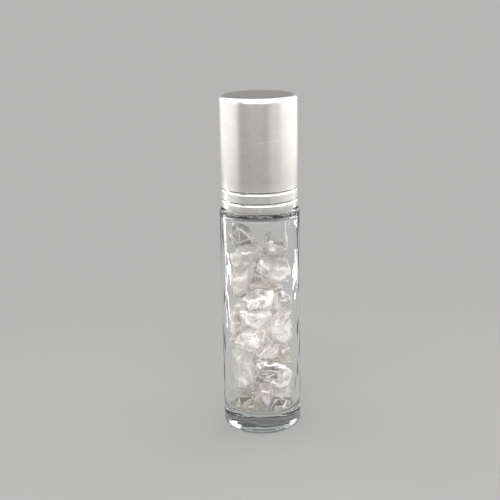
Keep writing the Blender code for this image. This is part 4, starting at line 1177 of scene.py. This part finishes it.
def floor_finish():
    material, w = new_material("pale_floor")
    place = w.node("ShaderNodeTexCoord").outputs["Object"]
    far = w.ramp(w.length(place), 0.06, 0.18)
    dull = w.result("ShaderNodeBsdfDiffuse", {"Color": FLOOR_COLOUR})
    even = w.result("ShaderNodeEmission", {"Color": BACKGROUND, "Strength": 1.0})
    factor = w.times(far, seen_directly(w))
    mixed = w.result("ShaderNodeMixShader", {0: factor, 1: dull, 2: even})
    w.node("ShaderNodeOutputMaterial", {"Surface": mixed})
    return material


def round_floor(radius):
    shape = bmesh.new()
    bmesh.ops.create_circle(shape, cap_ends=True, segments=96, radius=radius)
    mesh = bpy.data.meshes.new("studio_floor")
    shape.to_mesh(mesh)
    shape.free()
    mesh.materials.append(floor_finish())
    floor = bpy.data.objects.new("studio_floor", mesh)
    scene.collection.objects.link(floor)
    return floor


def surround():
    world = bpy.data.worlds.new("studio_surround")
    world.use_nodes = True
    world.node_tree.nodes.clear()
    w = Wiring(world.node_tree)
    up = w.parts(w.node("ShaderNodeTexCoord").outputs["Generated"])["Z"]
    colour = w.mix_colour(w.ramp(up, 0.06, 0.50), BACKGROUND, OVERHEAD)
    light = w.result("ShaderNodeBackground", {"Color": colour, "Strength": 1.0})
    w.node("ShaderNodeOutputWorld", {"Surface": light})
    scene.world = world


floor = round_floor(FLOOR_RADIUS)
floor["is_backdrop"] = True
surround()
print("Floor and surround ready")

# %% [markdown]
# ## The lamps
# Two tall soft boxes at the sides draw the long highlights on the cap and the glass. Each stands on a low part
# that the glass doesn't show, because straight through the bottle it would look like a white wall. A large box
# in front, one overhead and one at the front right light the chips and the cap's rounded edge, and one behind
# lights the chips through the glass. A small bright box makes the glints on the chips and the cap, and three
# narrow strips draw the bright lines near the glass's edges.

# %% Lamps
SIDE_DISTANCE, STRIP_DISTANCE = 0.30, 0.085
# Bearing from the camera's side, clockwise from above, height, distance, width and height of the box, brightness,
# the height that it faces, and the kinds of ray that don't see it
LAMPS = {
    "left_low_box": (-105, 0.07, SIDE_DISTANCE, (0.56, 0.14), 1.08, 0.07, "transmission"),
    "left_box": (-105, 0.38, SIDE_DISTANCE, (0.56, 0.48), 1.08, 0.38),
    "right_low_box": (111, 0.07, SIDE_DISTANCE, (0.54, 0.14), 1.20, 0.07, "transmission"),
    "right_box": (111, 0.38, SIDE_DISTANCE, (0.54, 0.48), 1.20, 0.38),
    "fill_box": (52, 0.21, 0.34, (0.26, 0.42), 0.60, 0.21),
    "key_box": (-6, 0.31, 0.34, (0.52, 0.40), 2.5, 0.06),
    "overhead_box": (0, 0.44, 0.02, (0.56, 0.46), 1.5, 0.08),
    "back_box": (172, 0.36, 0.40, (0.44, 0.30), 1.5, 0.03, "transmission", "glossy"),
    "glint_box": (-28, 0.30, 0.26, (0.035, 0.035), 34.0, 0.045, "diffuse"),
    "left_strip": (-116, 0.022, STRIP_DISTANCE, (0.009, 0.044), 5.0, 0.022, "diffuse"),
    "right_upper_strip": (124, 0.037, STRIP_DISTANCE, (0.006, 0.008), 5.5, 0.037, "diffuse"),
    "right_lower_strip": (126, 0.019, STRIP_DISTANCE, (0.011, 0.014), 2.6, 0.019, "diffuse"),
}


def soft_box(name, bearing, height, distance, size, brightness, aim_height, *unseen_by):
    """A rectangular lamp that faces the bottle."""
    lamp = bpy.data.lights.new(name, "AREA")
    lamp.shape = "RECTANGLE"
    lamp.size, lamp.size_y = size
    lamp.energy = brightness * math.pi * size[0] * size[1]
    box = bpy.data.objects.new(name, lamp)
    scene.collection.objects.link(box)
    turn = math.radians(bearing)
    box.location = (distance * math.sin(turn), -distance * math.cos(turn), height)
    towards = Vector((0, 0, aim_height)) - box.location
    box.rotation_euler = towards.to_track_quat("-Z", "Y").to_euler()
    for ray in ("camera", *unseen_by):
        setattr(box, "visible_" + ray, False)


for name, row in LAMPS.items():
    soft_box(name, *row)
print(len(LAMPS), "lamps")

# %% [markdown]
# ## Print the boxes and finish
# The boxes of the CAD model and of the dressed model are printed in millimetres. The
# dressed model has to stay inside the CAD model's box.

# %% Print both boxes and finish
dressed_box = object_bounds()
for title, corners in (("CAD", cad_box), ("dressed", dressed_box)):
    print(title, "box in mm:", [[round(value / MM, 2) for value in corner] for corner in corners])
